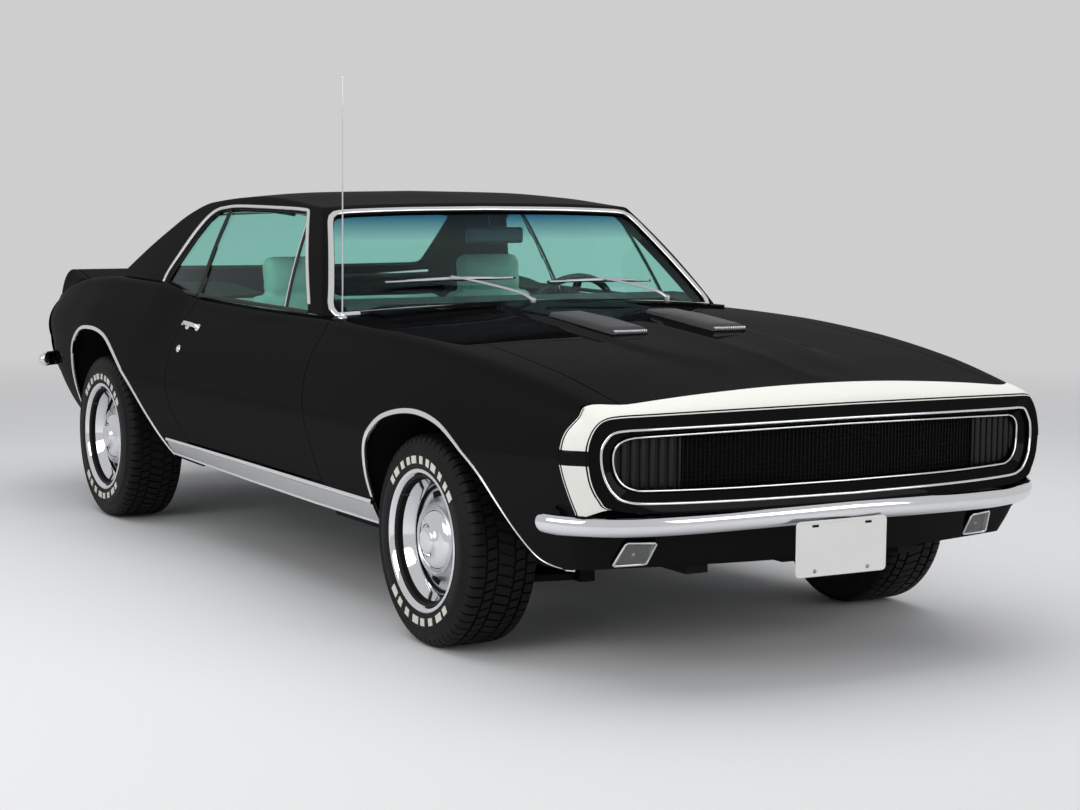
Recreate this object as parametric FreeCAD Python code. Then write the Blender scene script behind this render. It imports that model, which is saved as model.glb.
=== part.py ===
"""Two-door hardtop muscle car, millimetres.

The front of the car points to -Y, its left side to +X, and +Z is up. The origin is on the ground, midway between
the two bumpers. Lengths along the car are written as stations: the distance behind the front axle.
"""
import FreeCAD, Part
import math
import os

from FreeCAD import Placement, Rotation, Vector

# ---------------------------------------------------------------- driving sizes
WHEELBASE = 2746.0
FRONT_OVERHANG = 930.0
REAR_OVERHANG = 1014.0
FRONT_AXLE_Y = FRONT_OVERHANG - (FRONT_OVERHANG + WHEELBASE + REAR_OVERHANG) / 2
SKIN = 22.0                # wall of the outer panels
FAR_X = 1200.0             # beyond the body's side
SHUT_GAP = 5.0             # gap round each opening panel
SEAM_GAP = 0.3             # gap between fixed panels
SEAT_GAP = 0.3             # gap between a moving piece and what it runs on
SHAFT_CLEARANCE = 0.05
ROOF_WALL = 30.0
GLASS_INSET = 7.0          # glass lies this far under the greenhouse's surface
GLASS_THICK = 6.0

# wheels
FRONT_TYRE_RADIUS = 308.0
REAR_TYRE_RADIUS = 316.0
TYRE_OUTER_X = 850.0
TYRE_WIDTH = 226.0
RIM_SEAT_RADIUS = 182.0
RIM_WALL = 8.0
RIM_LIP_RADIUS = 206.0
DISC_DEPTH = 84.0          # from the rim's outer plane to the disc
HUB_RADIUS = 62.0
HUB_DEPTH = 42.0
SPINDLE_RADIUS = 18.0
KINGPIN_X = 680.0
BALL_JOINT_DROP = 118.0
BALL_JOINT_RISE = 128.0

# lower body, one row a station. Columns: station, centre-line height, crown half-width, crown height,
# widest half-width, height of the widest line, sill half-width, sill height
BODY_ROWS = (
    (-800.0, 797, 706, 749, 786, 617, 692, 326),
    (-740.0, 804, 722, 760, 812, 617, 704, 322),
    (-400.0, 847, 760, 820, 862, 604, 772, 306),
    (0.0, 884, 785, 864, 896, 594, 790, 290),
    (400.0, 917, 792, 887, 895, 594, 790, 284),
    (800.0, 932, 785, 894, 889, 592, 790, 286),
    (1300.0, 922, 780, 892, 885, 592, 790, 294),
    (1940.0, 922, 780, 899, 891, 592, 792, 304),
    (2300.0, 928, 794, 938, 903, 602, 796, 314),
    (2746.0, 922, 800, 937, 908, 612, 800, 327),
    (3090.0, 914, 786, 917, 862, 622, 785, 352),
    (3420.0, 894, 752, 878, 812, 640, 742, 402),
    (3690.0, 868, 702, 832, 745, 645, 680, 447),
)
CROWN_ROUND = 34.0         # size of the rounded shoulder edge
UPPER_SIDE_BULGE = 26.0    # sagitta of the side above the widest line
LOWER_SIDE_BULGE = 15.0    # sagitta of the side below it
TAIL_STATION = BODY_ROWS[-1][0]

# greenhouse seen from the side, one row a half-width. Columns: half-width, windscreen base station,
# windscreen top station, windscreen top height, roof peak height, roof rear height, tail base station
GREENHOUSE_ROWS = (
    (0.0, 740, 1225, 1254, 1290, 1262, 2885),
    (350.0, 774, 1222, 1250, 1284, 1256, 2890),
    (620.0, 846, 1210, 1238, 1264, 1236, 2912),
    (800.0, 916, 1204, 1226, 1246, 1220, 2930),
)
WINDSCREEN_BASE_Z = 930.0
GREENHOUSE_FOOT_Z = 850.0
ROOF_PEAK_STATION = 1715.0
ROOF_REAR_STATION = 2230.0
SAIL_STATION = 2560.0
SAIL_DROP = 112.0          # from the roof's rear height to the top of the straight sail
TAIL_BASE_Z = 958.0

# greenhouse seen from the front, one row a station. Columns: station, half-width at the foot, half-width at the
# drip rail
TUMBLEHOME_ROWS = (
    (620.0, 778, 603),
    (1300.0, 775, 603),
    (2000.0, 778, 600),
    (2500.0, 762, 585),
    (3060.0, 706, 548),
)
DRIP_RAIL_Z = 1234.0
SIDE_BULGE = 12.0

WINDSCREEN_OUTLINE = ((-708, 922), (-577, 1208), (-300, 1219), (0, 1223), (300, 1219), (577, 1208), (708, 922),
                      (400, 940), (0, 948), (-400, 940))
REAR_WINDOW_OUTLINE = ((-600, 982), (-520, 1196), (0, 1206), (520, 1196), (600, 982), (0, 974))
SIDE_WINDOW_OUTLINE = ((990, 870), (1012, 914), (1322, 1220), (1897, 1221), (2080, 1206), (2140, 1174), (2262, 950),
                       (2275, 870))
GLASS_SPLIT = ((1948, 860), (1955, 896), (2008, 1230))      # rear edge of the door glass

# nose: the header, the side returns and the valance ahead of the wings
NOSE_TIP = -912.0
NOSE_JOIN = -716.0         # where nose and wings meet
NOSE_ROW = 1               # the body row whose section the nose carries forward
NOSE_SWEEP = 0.06          # setback of the nose for each unit of half-width
NOSE_CURVE = 0.00014       # setback of the nose for each unit of half-width squared
NOSE_ROWS = ((0.0, 0.0), (330.0, 0.0), (620.0, 0.0), (720.0, 0.0), (780.0, 22.0), (830.0, 70.0))
GRILLE_HALF_WIDTH = 728.0
GRILLE_LOW = 497.0
GRILLE_HIGH = 724.0
GRILLE_CORNER = 78.0
GRILLE_DEPTH = 52.0
GRILLE_THICK = 16.0
GRILLE_FRAME = 16.0

PLATE_X = -50.0
PLATE_Z = 370.0
PLATE_HOLE_SPACING = 178.0
PLATE_HOLE_RADIUS = 3.5

HOOD_FRONT = -780.0
HOOD_REAR = 648.0
HOOD_HALF_WIDTH = 652.0
HOOD_WALL = 24.0
HOOD_PANEL_RISE = 9.0
VENT_INNER_X = 121.0
VENT_OUTER_X = 236.0
VENT_FRONT = -55.0
VENT_REAR = 323.0
VENT_RISE = 14.0
DECK_FRONT = 3010.0
DECK_REAR = 3662.0
DECK_HALF_WIDTH = 612.0

# side profile of the rear spoiler, down into the deck that it stands on: station, height
SPOILER_PROFILE = ((3560, 790), (3560, 880), (3575, 893), (3736, 925), (3746, 915), (3690, 860), (3690, 790))
SPOILER_HALF_WIDTH = 690.0

# shut lines of the doors, bottom to top: station, height
DOOR_FRONT_LINE = ((701.0, 388.0), (704.0, 450.0), (731.0, 570.0), (757.0, 673.0), (786.0, 960.0))
DOOR_REAR_LINE = ((1878.0, 388.0), (1915.0, 450.0), (1944.0, 570.0), (1946.0, 690.0), (1938.0, 960.0))
DOOR_BOTTOM = DOOR_FRONT_LINE[0][1]
DOOR_RETURN = 16.0         # how much smaller the door's inner box is than its skin
DOOR_SKIN = 20.0
DOOR_DRAFT = 0.10
CABIN_SIDE_X = 735.0       # inner face of doors and rear side walls
CABIN_REAR = 2560.0
HINGE_X = 892.0

FRONT_ARCH = ((332, 100), (332, 430), (305, 520), (232, 618), (132, 660), (40, 676), (-57, 678), (-165, 659),
              (-265, 613), (-353, 551), (-425, 471), (-482, 391), (-522, 330), (-545, 306), (-560, 100))
REAR_ARCH = ((3086, 100), (3084, 500), (3062, 600), (3000, 682), (2900, 725), (2760, 737), (2640, 728),
             (2545, 700), (2420, 632), (2300, 545), (2215, 452), (2165, 385), (2105, 318), (2060, 100))
LINER_WALL = 8.0
FRONT_LINER_X = 464.0
REAR_LINER_X = 560.0
LINER_OUTER_X = 872.0

FLOOR_Z = 290.0
FLOOR_WALL = 12.0
TUNNEL_RADIUS = 150.0
RAIL_DEPTH = 40.0
AXLE_ARCH_Z = 442.0        # floor height over the rear axle
FIREWALL_STATION = 660.0
BOOT_FLOOR_Z = 352.0
SEAT_PAN_STATION = 2128.0
AXLE_FRONT = 2592.0
AXLE_REAR = 2950.0

PROPSHAFT_Z = 300.0
PROPSHAFT_RADIUS = 38.0
PROPSHAFT_FRONT = 900.0
GEARBOX_FRONT = 500.0
GEARBOX_RADII = (90.0, 55.0)
DIFFERENTIAL_RADIUS = 112.0
PIPE_RADIUS = 28.0
PIPE_X = 200.0
LEAF_RADIUS = 38.0         # of the axle tube that the springs clear
LEAF_X = 450.0
LEAF_WIDTH = 60.0
LEAF_THICK = 22.0

# boxes: half-width, station and height ranges
ENGINE_BOX = (-270, 270, -250, 500, 300, 760)
SILENCER_BOX = (-420, 420, 3000, 3130, BOOT_FLOOR_Z - 110, BOOT_FLOOR_Z)
TANK_BOX = (-400, 400, 3180, 3540, BOOT_FLOOR_Z - 130, BOOT_FLOOR_Z)
RADIATOR_SUPPORT_BOX = (-520, 520, -704, -690, FLOOR_Z + 30, 1000)
PARKING_LAMP_BOX = (541, 643, -860, -660, 330, 394)
REAR_LAMP_BOX = (330, 600, TAIL_STATION, TAIL_STATION + 8, 640, 735)

# bumper bars seen from above: half-width, station
FRONT_BUMPER = {
    "outside": ((-700, -806), (0, -926), (700, -806)),
    "corner": ((700, -806), (802, -735), (848, -640)),
    "inner_corner": ((834, -640), (770, -690), (700, -740)),
    "inside": ((700, -740), (0, -860), (-700, -740)),
}
REAR_BUMPER = {
    "outside": ((-740, 3700), (0, 3760), (740, 3700)),
    "corner": ((740, 3700), (800, 3660), (822, 3590)),
    "inner_corner": ((808, 3590), (766, 3630), (700, 3650)),
    "inside": ((700, 3650), (0, 3692), (-700, 3650)),
}
FRONT_BUMPER_HEIGHTS = (418.0, 476.0)
REAR_BUMPER_HEIGHTS = (520.0, 582.0)

# cabin
SEAT_INNER_X = 160.0
SEAT_OUTER_X = 640.0
SEAT_BACK_TILT = 14.0
BENCH_HALF_WIDTH = 545.0
# side profile of the dashboard: station, height
DASH_PROFILE = ((800, 700), (1000, 640), (1060, 700), (1050, 860), (1000, 905), (840, 905))
DASH_HALF_WIDTH = 680.0
COLUMN_RADIUS = 24.0
COLUMN_LENGTH = 230.0
WHEEL_HUB_DEPTH = 62.0
WHEEL_RIM_RADIUS = 13.0

# wipers: pivot, arm joint and the blade's two ends, each half-width, station, height
WIPERS = (
    ((-77, 700, 940), (-308, 850, 1012), (-536, 893, 1006), (-80, 812, 1012)),
    ((483, 730, 930), (273, 850, 1000), (40, 812, 1000), (506, 868, 996)),
)
WIPER_RADIUS = 5.0
ANTENNA_X = -735.0
ANTENNA_STATION = 772.0
ANTENNA_LENGTH = 790.0

COLUMN_TILT = 28.0
STEERING_X = 365.0
STEERING_STATION = 1239.0
STEERING_Z = 829.0
STEERING_RADIUS = 185.0


def at(station):
    """Row-frame Y of a station."""
    return FRONT_AXLE_Y + station


# ---------------------------------------------------------------- helpers
def v(x, station, z):
    return Vector(x, at(station), z)


def block(x0, x1, s0, s1, z0, z1):
    return Part.makeBox(x1 - x0, s1 - s0, z1 - z0, v(x0, s0, z0))


def rounded_block(x0, x1, s0, s1, z0, z1, radius):
    shape = block(x0, x1, s0, s1, z0, z1)
    return shape.makeFillet(radius, shape.Edges)


def mirrored(shape):
    return shape.mirror(Vector(0, 0, 0), Vector(1, 0, 0))


def both_sides(shape):
    return Part.Compound([shape, mirrored(shape)])


def arc(a, b, c):
    return Part.Arc(a, b, c).toShape()


def line(a, b):
    return Part.LineSegment(a, b).toShape()


def polygon(points):
    return Part.Face(Part.makePolygon(list(points) + [points[0]]))


def side_prism(outline, x0, x1):
    """A (station, height) outline made solid from x0 to x1."""
    return polygon([v(x0, s, z) for s, z in outline]).extrude(Vector(x1 - x0, 0, 0))


def front_prism(outline, s0, s1):
    """An (x, height) outline made solid from station s0 to s1."""
    return polygon([v(x, s0, z) for x, z in outline]).extrude(Vector(0, s1 - s0, 0))


def plan_prism(outline, z0, z1):
    """An (x, station) outline made solid from height z0 to z1."""
    return polygon([v(x, s, z0) for x, s in outline]).extrude(Vector(0, 0, z1 - z0))


def x_cylinder(radius, x0, x1, station, z):
    return Part.makeCylinder(radius, x1 - x0, v(x0, station, z), Vector(1, 0, 0))


def moved(shape, x, station, z):
    copy = shape.copy()
    copy.translate(Vector(x, station, z))
    return copy


def bulged(a, b, sagitta):
    """An arc from a to b in a plane of constant station, bulging away from the middle of the car."""
    middle = (a + b) * 0.5
    along = b - a
    outward = Vector(along.z, 0, -along.x)
    outward.normalize()
    if outward.dot(Vector(middle.x, 0, 0)) < 0:
        outward = outward * -1
    return arc(a, middle + outward * sagitta, b)


def other_side(p):
    return Vector(-p.x, p.y, p.z)


def grown(outline, centre, factor):
    """An outline scaled about a centre."""
    return [(centre[0] + (a - centre[0]) * factor, centre[1] + (b - centre[1]) * factor) for a, b in outline]


# ---------------------------------------------------------------- lower body
def body_section(row, inset):
    """Closed wire of the body at one station, moved inwards by inset."""
    station, top, crown_x, crown_z, wide_x, wide_z, sill_x, sill_z = row
    roundness = max(CROWN_ROUND - inset, 6.0)
    crown_x, crown_z, top = crown_x - inset, crown_z - inset, top - inset
    wide_x, sill_x, sill_z = wide_x - inset, sill_x - inset, sill_z + inset
    inner = v(crown_x - roundness, station, crown_z + 0.12 * roundness)
    shoulder = v(crown_x - 0.18 * roundness, station, crown_z - 0.22 * roundness)
    outer = v(crown_x + 0.20 * roundness, station, crown_z - roundness)
    wide = v(wide_x, station, wide_z)
    sill = v(sill_x, station, sill_z)
    return Part.Wire([
        arc(other_side(inner), v(0, station, top), inner),
        arc(inner, shoulder, outer),
        bulged(outer, wide, UPPER_SIDE_BULGE),
        bulged(wide, sill, LOWER_SIDE_BULGE),
        line(sill, other_side(sill)),
        bulged(other_side(sill), other_side(wide), LOWER_SIDE_BULGE),
        bulged(other_side(wide), other_side(outer), UPPER_SIDE_BULGE),
        arc(other_side(outer), other_side(shoulder), other_side(inner)),
    ])


def body_solid(inset):
    return Part.makeLoft([body_section(row, inset) for row in BODY_ROWS], True, False)


def nose_solid(inset):
    """The nose as side profiles lofted across the car, trimmed to the front section of the body."""
    profiles = []
    for x, extra in [(-x, e) for x, e in reversed(NOSE_ROWS)] + list(NOSE_ROWS[1:]):
        back = NOSE_SWEEP * abs(x) + NOSE_CURVE * x * x + extra
        drop = 42.0 * (abs(x) / 720.0) ** 2
        tip = NOSE_TIP + back + inset
        outline = (
            (NOSE_JOIN + 60, 808 - drop - inset), (NOSE_TIP + 0.45 * back + 128, 802 - drop - inset),
            (tip + 14, 758 - 0.5 * drop - inset), (tip, 738 - 0.4 * drop), (tip, 492), (tip + 40, 468),
            (tip + 84, 400), (tip + 118, 330 + inset), (NOSE_JOIN + 60, 322 + inset),
        )
        profiles.append(Part.makePolygon([v(x, s, z) for s, z in outline + (outline[0],)]))
    whole = Part.makeLoft(profiles, True, True)
    row = list(BODY_ROWS[NOSE_ROW])
    row[1] = row[1] + 12
    section = Part.Face(body_section(row, inset))
    trim = section.extrude(Vector(0, -320, 0)).fuse(section.extrude(Vector(0, 80, 0)))
    return whole.common(trim)


def grille_opening(shrink):
    half = GRILLE_HALF_WIDTH - shrink
    low = GRILLE_LOW + shrink
    high = GRILLE_HIGH - shrink
    cut = GRILLE_CORNER - 0.4 * shrink
    right = [(half - cut, low), (half, low + cut), (half, high - cut), (half - cut, high)]
    return front_prism(right + [(-x, z) for x, z in reversed(right)], -1000, NOSE_JOIN)


# ---------------------------------------------------------------- greenhouse
def greenhouse_profile(row, side, inset):
    x, base, top_station, top_z, peak_z, rear_z, tail = row
    x = side * x
    slope = (top_z - WINDSCREEN_BASE_Z) / (top_station - base)
    foot_z = GREENHOUSE_FOOT_Z
    foot = v(x, base - (WINDSCREEN_BASE_Z - foot_z) / slope + inset * 1.3, foot_z)
    screen_top = v(x, top_station + inset * 0.4, top_z - inset)
    peak = v(x, ROOF_PEAK_STATION, peak_z - inset)
    rear = v(x, ROOF_REAR_STATION, rear_z - inset)
    sail_z = rear_z - SAIL_DROP
    sail = v(x, SAIL_STATION - 0.4 * inset, sail_z - inset)
    shoulder = v(x, (ROOF_REAR_STATION + SAIL_STATION) / 2 - 0.2 * inset, rear_z - 0.36 * SAIL_DROP - inset)
    tail_slope = (sail_z - TAIL_BASE_Z) / (tail - SAIL_STATION)
    tail_foot = v(x, tail + (TAIL_BASE_Z - foot_z) / tail_slope - inset * 2.2, foot_z)
    return Part.Wire([
        line(foot, screen_top),
        arc(screen_top, peak, rear),
        arc(rear, shoulder, sail),
        line(sail, tail_foot),
        line(tail_foot, foot),
    ])


def greenhouse_front(row, inset):
    station, foot_x, rail_x = row
    foot = v(foot_x - inset, station, GREENHOUSE_FOOT_Z)
    rail = v(rail_x - inset, station, DRIP_RAIL_Z)
    edge = v(rail_x - 16 - inset, station, DRIP_RAIL_Z + 20)
    high = v(rail_x - 70 - inset, station, DRIP_RAIL_Z + 140)
    return Part.Wire([
        bulged(foot, rail, SIDE_BULGE),
        line(rail, edge),
        line(edge, high),
        line(high, other_side(high)),
        line(other_side(high), other_side(edge)),
        line(other_side(edge), other_side(rail)),
        bulged(other_side(rail), other_side(foot), SIDE_BULGE),
        line(other_side(foot), foot),
    ])


def greenhouse_solid(inset):
    rows = [(row, -1) for row in reversed(GREENHOUSE_ROWS)] + [(row, 1) for row in GREENHOUSE_ROWS[1:]]
    across = Part.makeLoft([greenhouse_profile(row, side, inset) for row, side in rows], True, False)
    along = Part.makeLoft([greenhouse_front(row, inset) for row in TUMBLEHOME_ROWS], True, False)
    return across.common(along)


def side_outline(shrink):
    """The side window's outline moved inwards by shrink along its front, top and rear edges."""
    front, rear = SIDE_WINDOW_OUTLINE[:3], SIDE_WINDOW_OUTLINE[6:]
    top = SIDE_WINDOW_OUTLINE[3:6]
    return ([(s + shrink * 1.3, z) for s, z in front[:2]] + [(front[2][0] + shrink, front[2][1] - shrink)]
            + [(s - 0.3 * shrink, z - shrink) for s, z in top] + [(s - shrink * 1.2, z) for s, z in rear])


def rear_line(x, grow):
    """The door's rear shut line at half-width x, which runs forward towards the cabin, so that the door clears it."""
    return [(s + grow - DOOR_DRAFT * (HINGE_X - x), z) for s, z in DOOR_REAR_LINE]


def door_prism(x0, x1, grow):
    """The door's side region, solid from x0 to x1, with every edge moved outwards by grow."""
    wires = []
    for x in (x0, x1):
        outline = [(s - grow, z) for s, z in DOOR_FRONT_LINE] + rear_line(x, grow)[::-1]
        outline[0] = (outline[0][0], outline[0][1] - grow)
        outline[-1] = (outline[-1][0], outline[-1][1] - grow)
        wires.append(Part.makePolygon([v(x, s, z) for s, z in outline + outline[:1]]))
    return Part.makeLoft(wires, True, True)


def ahead_of_quarter(grow):
    """Everything ahead of the quarter's front edge, which runs parallel to the door's rear edge."""
    wires = []
    for x in (0.0, 1200.0):
        edge = rear_line(x, grow)
        outline = [(0.0, edge[-1][1]), (0.0, 0.0), (edge[0][0] - 8, 0.0)] + edge
        wires.append(Part.makePolygon([v(x, s, z) for s, z in outline + outline[:1]]))
    return Part.makeLoft(wires, True, True)


# ---------------------------------------------------------------- wheels
def wheel_turn(points, outer_x, axle_station, hub_z, side):
    """Turns (depth behind the rim's outer plane, radius) points about a wheel's axle."""
    face = polygon([v(outer_x - depth, axle_station, hub_z + radius) for depth, radius in points])
    solid = face.revolve(v(outer_x, axle_station, hub_z), Vector(1, 0, 0), 360)
    return solid if side > 0 else mirrored(solid)


def tyre(radius, axle_station, side):
    w = TYRE_WIDTH
    seat = RIM_SEAT_RADIUS
    points = ((16, seat), (8, seat + 18), (0, seat + 52), (1, radius - 48), (8, radius - 20), (20, radius - 6),
              (50, radius - 1), (w / 2, radius), (w - 50, radius - 1), (w - 20, radius - 6), (w - 8, radius - 20),
              (w - 1, radius - 48), (w, seat + 52), (w - 8, seat + 18), (w - 16, seat))
    return wheel_turn(points, TYRE_OUTER_X, axle_station, radius, side)


def rim(radius, axle_station, side):
    w = TYRE_WIDTH
    seat = RIM_SEAT_RADIUS
    barrel = seat - RIM_WALL
    lip = RIM_LIP_RADIUS
    bore = SPINDLE_RADIUS + SHAFT_CLEARANCE
    points = ((12, 0), (14, 32), (30, 60), (38, 102), (DISC_DEPTH - 10, 112), (DISC_DEPTH - 4, 150), (60, 156),
              (22, 172), (12, 182), (4, 197), (1, 204), (2, lip), (5.5, lip), (7.5, seat + 18), (15.6, seat),
              (w - 16, seat), (w - 10, seat + 12), (w - 8, seat + 12), (w - 8, barrel), (DISC_DEPTH + 30, barrel),
              (DISC_DEPTH + 18, barrel - 20), (DISC_DEPTH + 10, HUB_RADIUS), (DISC_DEPTH + HUB_DEPTH, HUB_RADIUS),
              (DISC_DEPTH + HUB_DEPTH, bore), (DISC_DEPTH + 4, bore), (DISC_DEPTH + 4, 0))
    return wheel_turn(points, TYRE_OUTER_X, axle_station, radius, side)


def hub_face_x():
    return TYRE_OUTER_X - DISC_DEPTH - HUB_DEPTH - SEAT_GAP


def spindle(axle_station, hub_z):
    """The shaft that a left wheel turns on, and the backing plate behind it."""
    face = hub_face_x()
    shaft = x_cylinder(SPINDLE_RADIUS, face - 40, TYRE_OUTER_X - DISC_DEPTH - 6, axle_station, hub_z)
    plate = x_cylinder(132, face - 8, face, axle_station, hub_z)
    return shaft.fuse(plate)


def knuckle(side):
    hub = FRONT_TYRE_RADIUS
    face = hub_face_x()
    low = hub - BALL_JOINT_DROP
    high = hub + BALL_JOINT_RISE
    upright = block(KINGPIN_X - 22, face - 2, -24, 24, low, high)
    arm = block(KINGPIN_X - 22, KINGPIN_X + 10, 0, 120, hub - 70, hub - 48)
    shape = spindle(0, hub).fuse([upright, arm])
    return shape if side > 0 else mirrored(shape)


def front_subframe():
    hub = FRONT_TYRE_RADIUS
    rail = block(330, 400, -220, 860, FLOOR_Z - RAIL_DEPTH, FLOOR_Z)
    nose_rail = block(330, 400, -700, -180, FLOOR_Z - 4, FLOOR_Z + 56)
    tower = block(372, 430, -110, 110, FLOOR_Z - 10, hub + BALL_JOINT_RISE + 34)
    parts = [tower]
    for z, root_x, root_half in ((hub - BALL_JOINT_DROP - 20 - SEAT_GAP, 360, 100),
                                 (hub + BALL_JOINT_RISE + SEAT_GAP, 400, 70)):
        outline = ((root_x, -root_half), (root_x, root_half), (KINGPIN_X + 16, 20), (KINGPIN_X + 16, -20))
        parts.append(plan_prism(outline, z, z + 20))
    drop = block(340, 390, -130, 130, hub - BALL_JOINT_DROP - 20 - SEAT_GAP, FLOOR_Z - 50)
    left = rail.fuse(parts + [drop, nose_rail])
    cross = block(-360, 360, -90, 90, FLOOR_Z - 80, FLOOR_Z - 8)
    return left.fuse([mirrored(left), cross])


def rear_axle():
    hub = REAR_TYRE_RADIUS
    tube = x_cylinder(LEAF_RADIUS, -hub_face_x() + 20, hub_face_x() - 20, WHEELBASE, hub)
    pumpkin = x_cylinder(DIFFERENTIAL_RADIUS, -80, 80, WHEELBASE, hub)
    left = spindle(WHEELBASE, hub)
    return tube.fuse([pumpkin, left, mirrored(left)])


def leaf_spring():
    """A left leaf spring, from its front eye through the axle's underside to its rear shackle."""
    low = REAR_TYRE_RADIUS - LEAF_RADIUS
    front = (WHEELBASE - 600, FLOOR_Z - 20)
    rear = (WHEELBASE + 620, BOOT_FLOOR_Z - 30)
    front_top = v(LEAF_X, front[0], front[1])
    rear_top = v(LEAF_X, rear[0], rear[1])
    front_low = v(LEAF_X, front[0], front[1] - LEAF_THICK)
    rear_low = v(LEAF_X, rear[0], rear[1] - LEAF_THICK)
    outline = Part.Wire([
        arc(front_top, v(LEAF_X, WHEELBASE, low), rear_top),
        line(rear_top, rear_low),
        arc(rear_low, v(LEAF_X, WHEELBASE, low - LEAF_THICK), front_low),
        line(front_low, front_top),
    ])
    leaf = Part.Face(outline).extrude(Vector(LEAF_WIDTH, 0, 0))
    end_x = LEAF_X + LEAF_WIDTH
    hanger = block(LEAF_X, end_x, front[0] - 20, front[0] + 40, front[1] - 12, FLOOR_Z)
    shackle = block(LEAF_X, end_x, rear[0] - 40, rear[0] + 20, rear[1] - 12, BOOT_FLOOR_Z)
    return leaf.fuse([hanger, shackle]).cut(x_cylinder(LEAF_RADIUS, 400, 600, WHEELBASE, REAR_TYRE_RADIUS))


# ---------------------------------------------------------------- body panels
def arch_openings():
    return [both_sides(side_prism(FRONT_ARCH, 300, 1100)), both_sides(side_prism(REAR_ARCH, 300, 1100))]


def arch_liner(outline, centre, inner_x, wall_cut):
    """A left wheel housing just outside an arch's outline, with its inner wall."""
    big = grown(outline, centre, 1.08)
    small = grown(outline, centre, 1.05)
    ring = side_prism(big, inner_x, LINER_OUTER_X).cut(side_prism(small, inner_x - 1, LINER_OUTER_X + 1))
    wall = side_prism(big, inner_x, inner_x + LINER_WALL).cut(wall_cut)
    return ring.fuse(wall)


def save(node, shape):
    """Writes one node, without the slivers that a cut may leave."""
    kept = [s for s in shape.Solids if s.Volume > 500.0]
    shape = kept[0] if len(kept) == 1 else Part.Compound(kept)
    shape.exportStep(os.path.join("parts", node + ".step"))
    print(f"{node}: {len(shape.Solids)} solids, {shape.Volume / 1e6:.2f} litres, valid {shape.isValid()}")


def save_pair(node, shape):
    """Writes a left node and its mirror image."""
    save(node + "_left", shape)
    save(node + "_right", mirrored(shape))


def top_layer(outer, depth):
    """The top of the body down to a depth."""
    return outer.cut(moved(outer, 0, 0, -depth))


def make_doors(outer):
    region = door_prism(CABIN_SIDE_X, FAR_X, 0)
    core = door_prism(CABIN_SIDE_X, FAR_X, -DOOR_RETURN)
    skin = outer.common(region).cut(body_solid(DOOR_SKIN))
    save_pair("door", skin.fuse(body_solid(DOOR_SKIN - 1).common(core)).removeSplitter())


def make_wings(shell):
    region = block(HOOD_HALF_WIDTH, FAR_X, NOSE_JOIN + SEAM_GAP, 900, 0, 1200)
    door_edge = [(s - SHUT_GAP, z) for s, z in DOOR_FRONT_LINE]
    behind_door_edge = side_prism(door_edge + [(1200, 960), (1200, 0), (695, 0)], 0, FAR_X)
    wing = shell.common(region).cut(behind_door_edge).cut(block(600, 724, 0, 900, 0, 340))
    wing = wing.cut(block(600, 775, 300, 368, 0, 340))
    arm_window = block(300, FAR_X, -190, 190, 0, FRONT_TYRE_RADIUS + BALL_JOINT_RISE + 60)
    liner = arch_liner(FRONT_ARCH, (-100, 330), FRONT_LINER_X, arm_window).common(body_solid(SKIN - 2))
    liner = liner.common(block(300, FAR_X, NOSE_JOIN + 2, FIREWALL_STATION - 40, 300, 1200))
    save_pair("fender", wing.fuse(liner))


def make_hood(outer):
    half = HOOD_HALF_WIDTH - SHUT_GAP
    slab = top_layer(outer, HOOD_WALL).common(block(-half, half, HOOD_FRONT, HOOD_REAR, 600, 1200))
    panel_outline = ((-302, -560), (302, -560), (262, 330), (-262, 330))
    raised = body_solid(-HOOD_PANEL_RISE).common(plan_prism(panel_outline, 700, 1200))
    save("hood", slab.fuse(raised.cut(outer)))
    vent_box = block(VENT_INNER_X, VENT_OUTER_X, VENT_FRONT, VENT_REAR, 700, 1200)
    vents = body_solid(-HOOD_PANEL_RISE - VENT_RISE).cut(body_solid(-HOOD_PANEL_RISE)).common(vent_box)
    save("hood_vents", both_sides(vents))


def make_nose(nose_outer):
    opening = grille_opening(0)
    nose_end = block(-1000, 1000, -1000, NOSE_JOIN, 0, 1200)
    hood_clear = block(-HOOD_HALF_WIDTH, HOOD_HALF_WIDTH, HOOD_FRONT - SHUT_GAP - 3, HOOD_REAR, 700, 1200)
    nose = nose_outer.cut(nose_solid(SKIN)).common(nose_end).cut(opening).cut(hood_clear)
    lamp_box = block(*PARKING_LAMP_BOX)
    lamps = moved(nose_outer, 0, -4, 0).common(lamp_box).cut(moved(nose_outer, 0, 16, 0))
    save("nose_panel", nose.cut(both_sides(lamp_box)))
    save("front_lamps", both_sides(lamps))
    back = moved(nose_outer, 0, GRILLE_DEPTH + GRILLE_THICK, 0)
    grille = moved(nose_outer, 0, GRILLE_DEPTH, 0).cut(back)
    frame = moved(nose_outer, 0, 10, 0).cut(back).common(opening).cut(grille_opening(GRILLE_FRAME))
    save("grille", grille.common(opening).fuse(frame))


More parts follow.
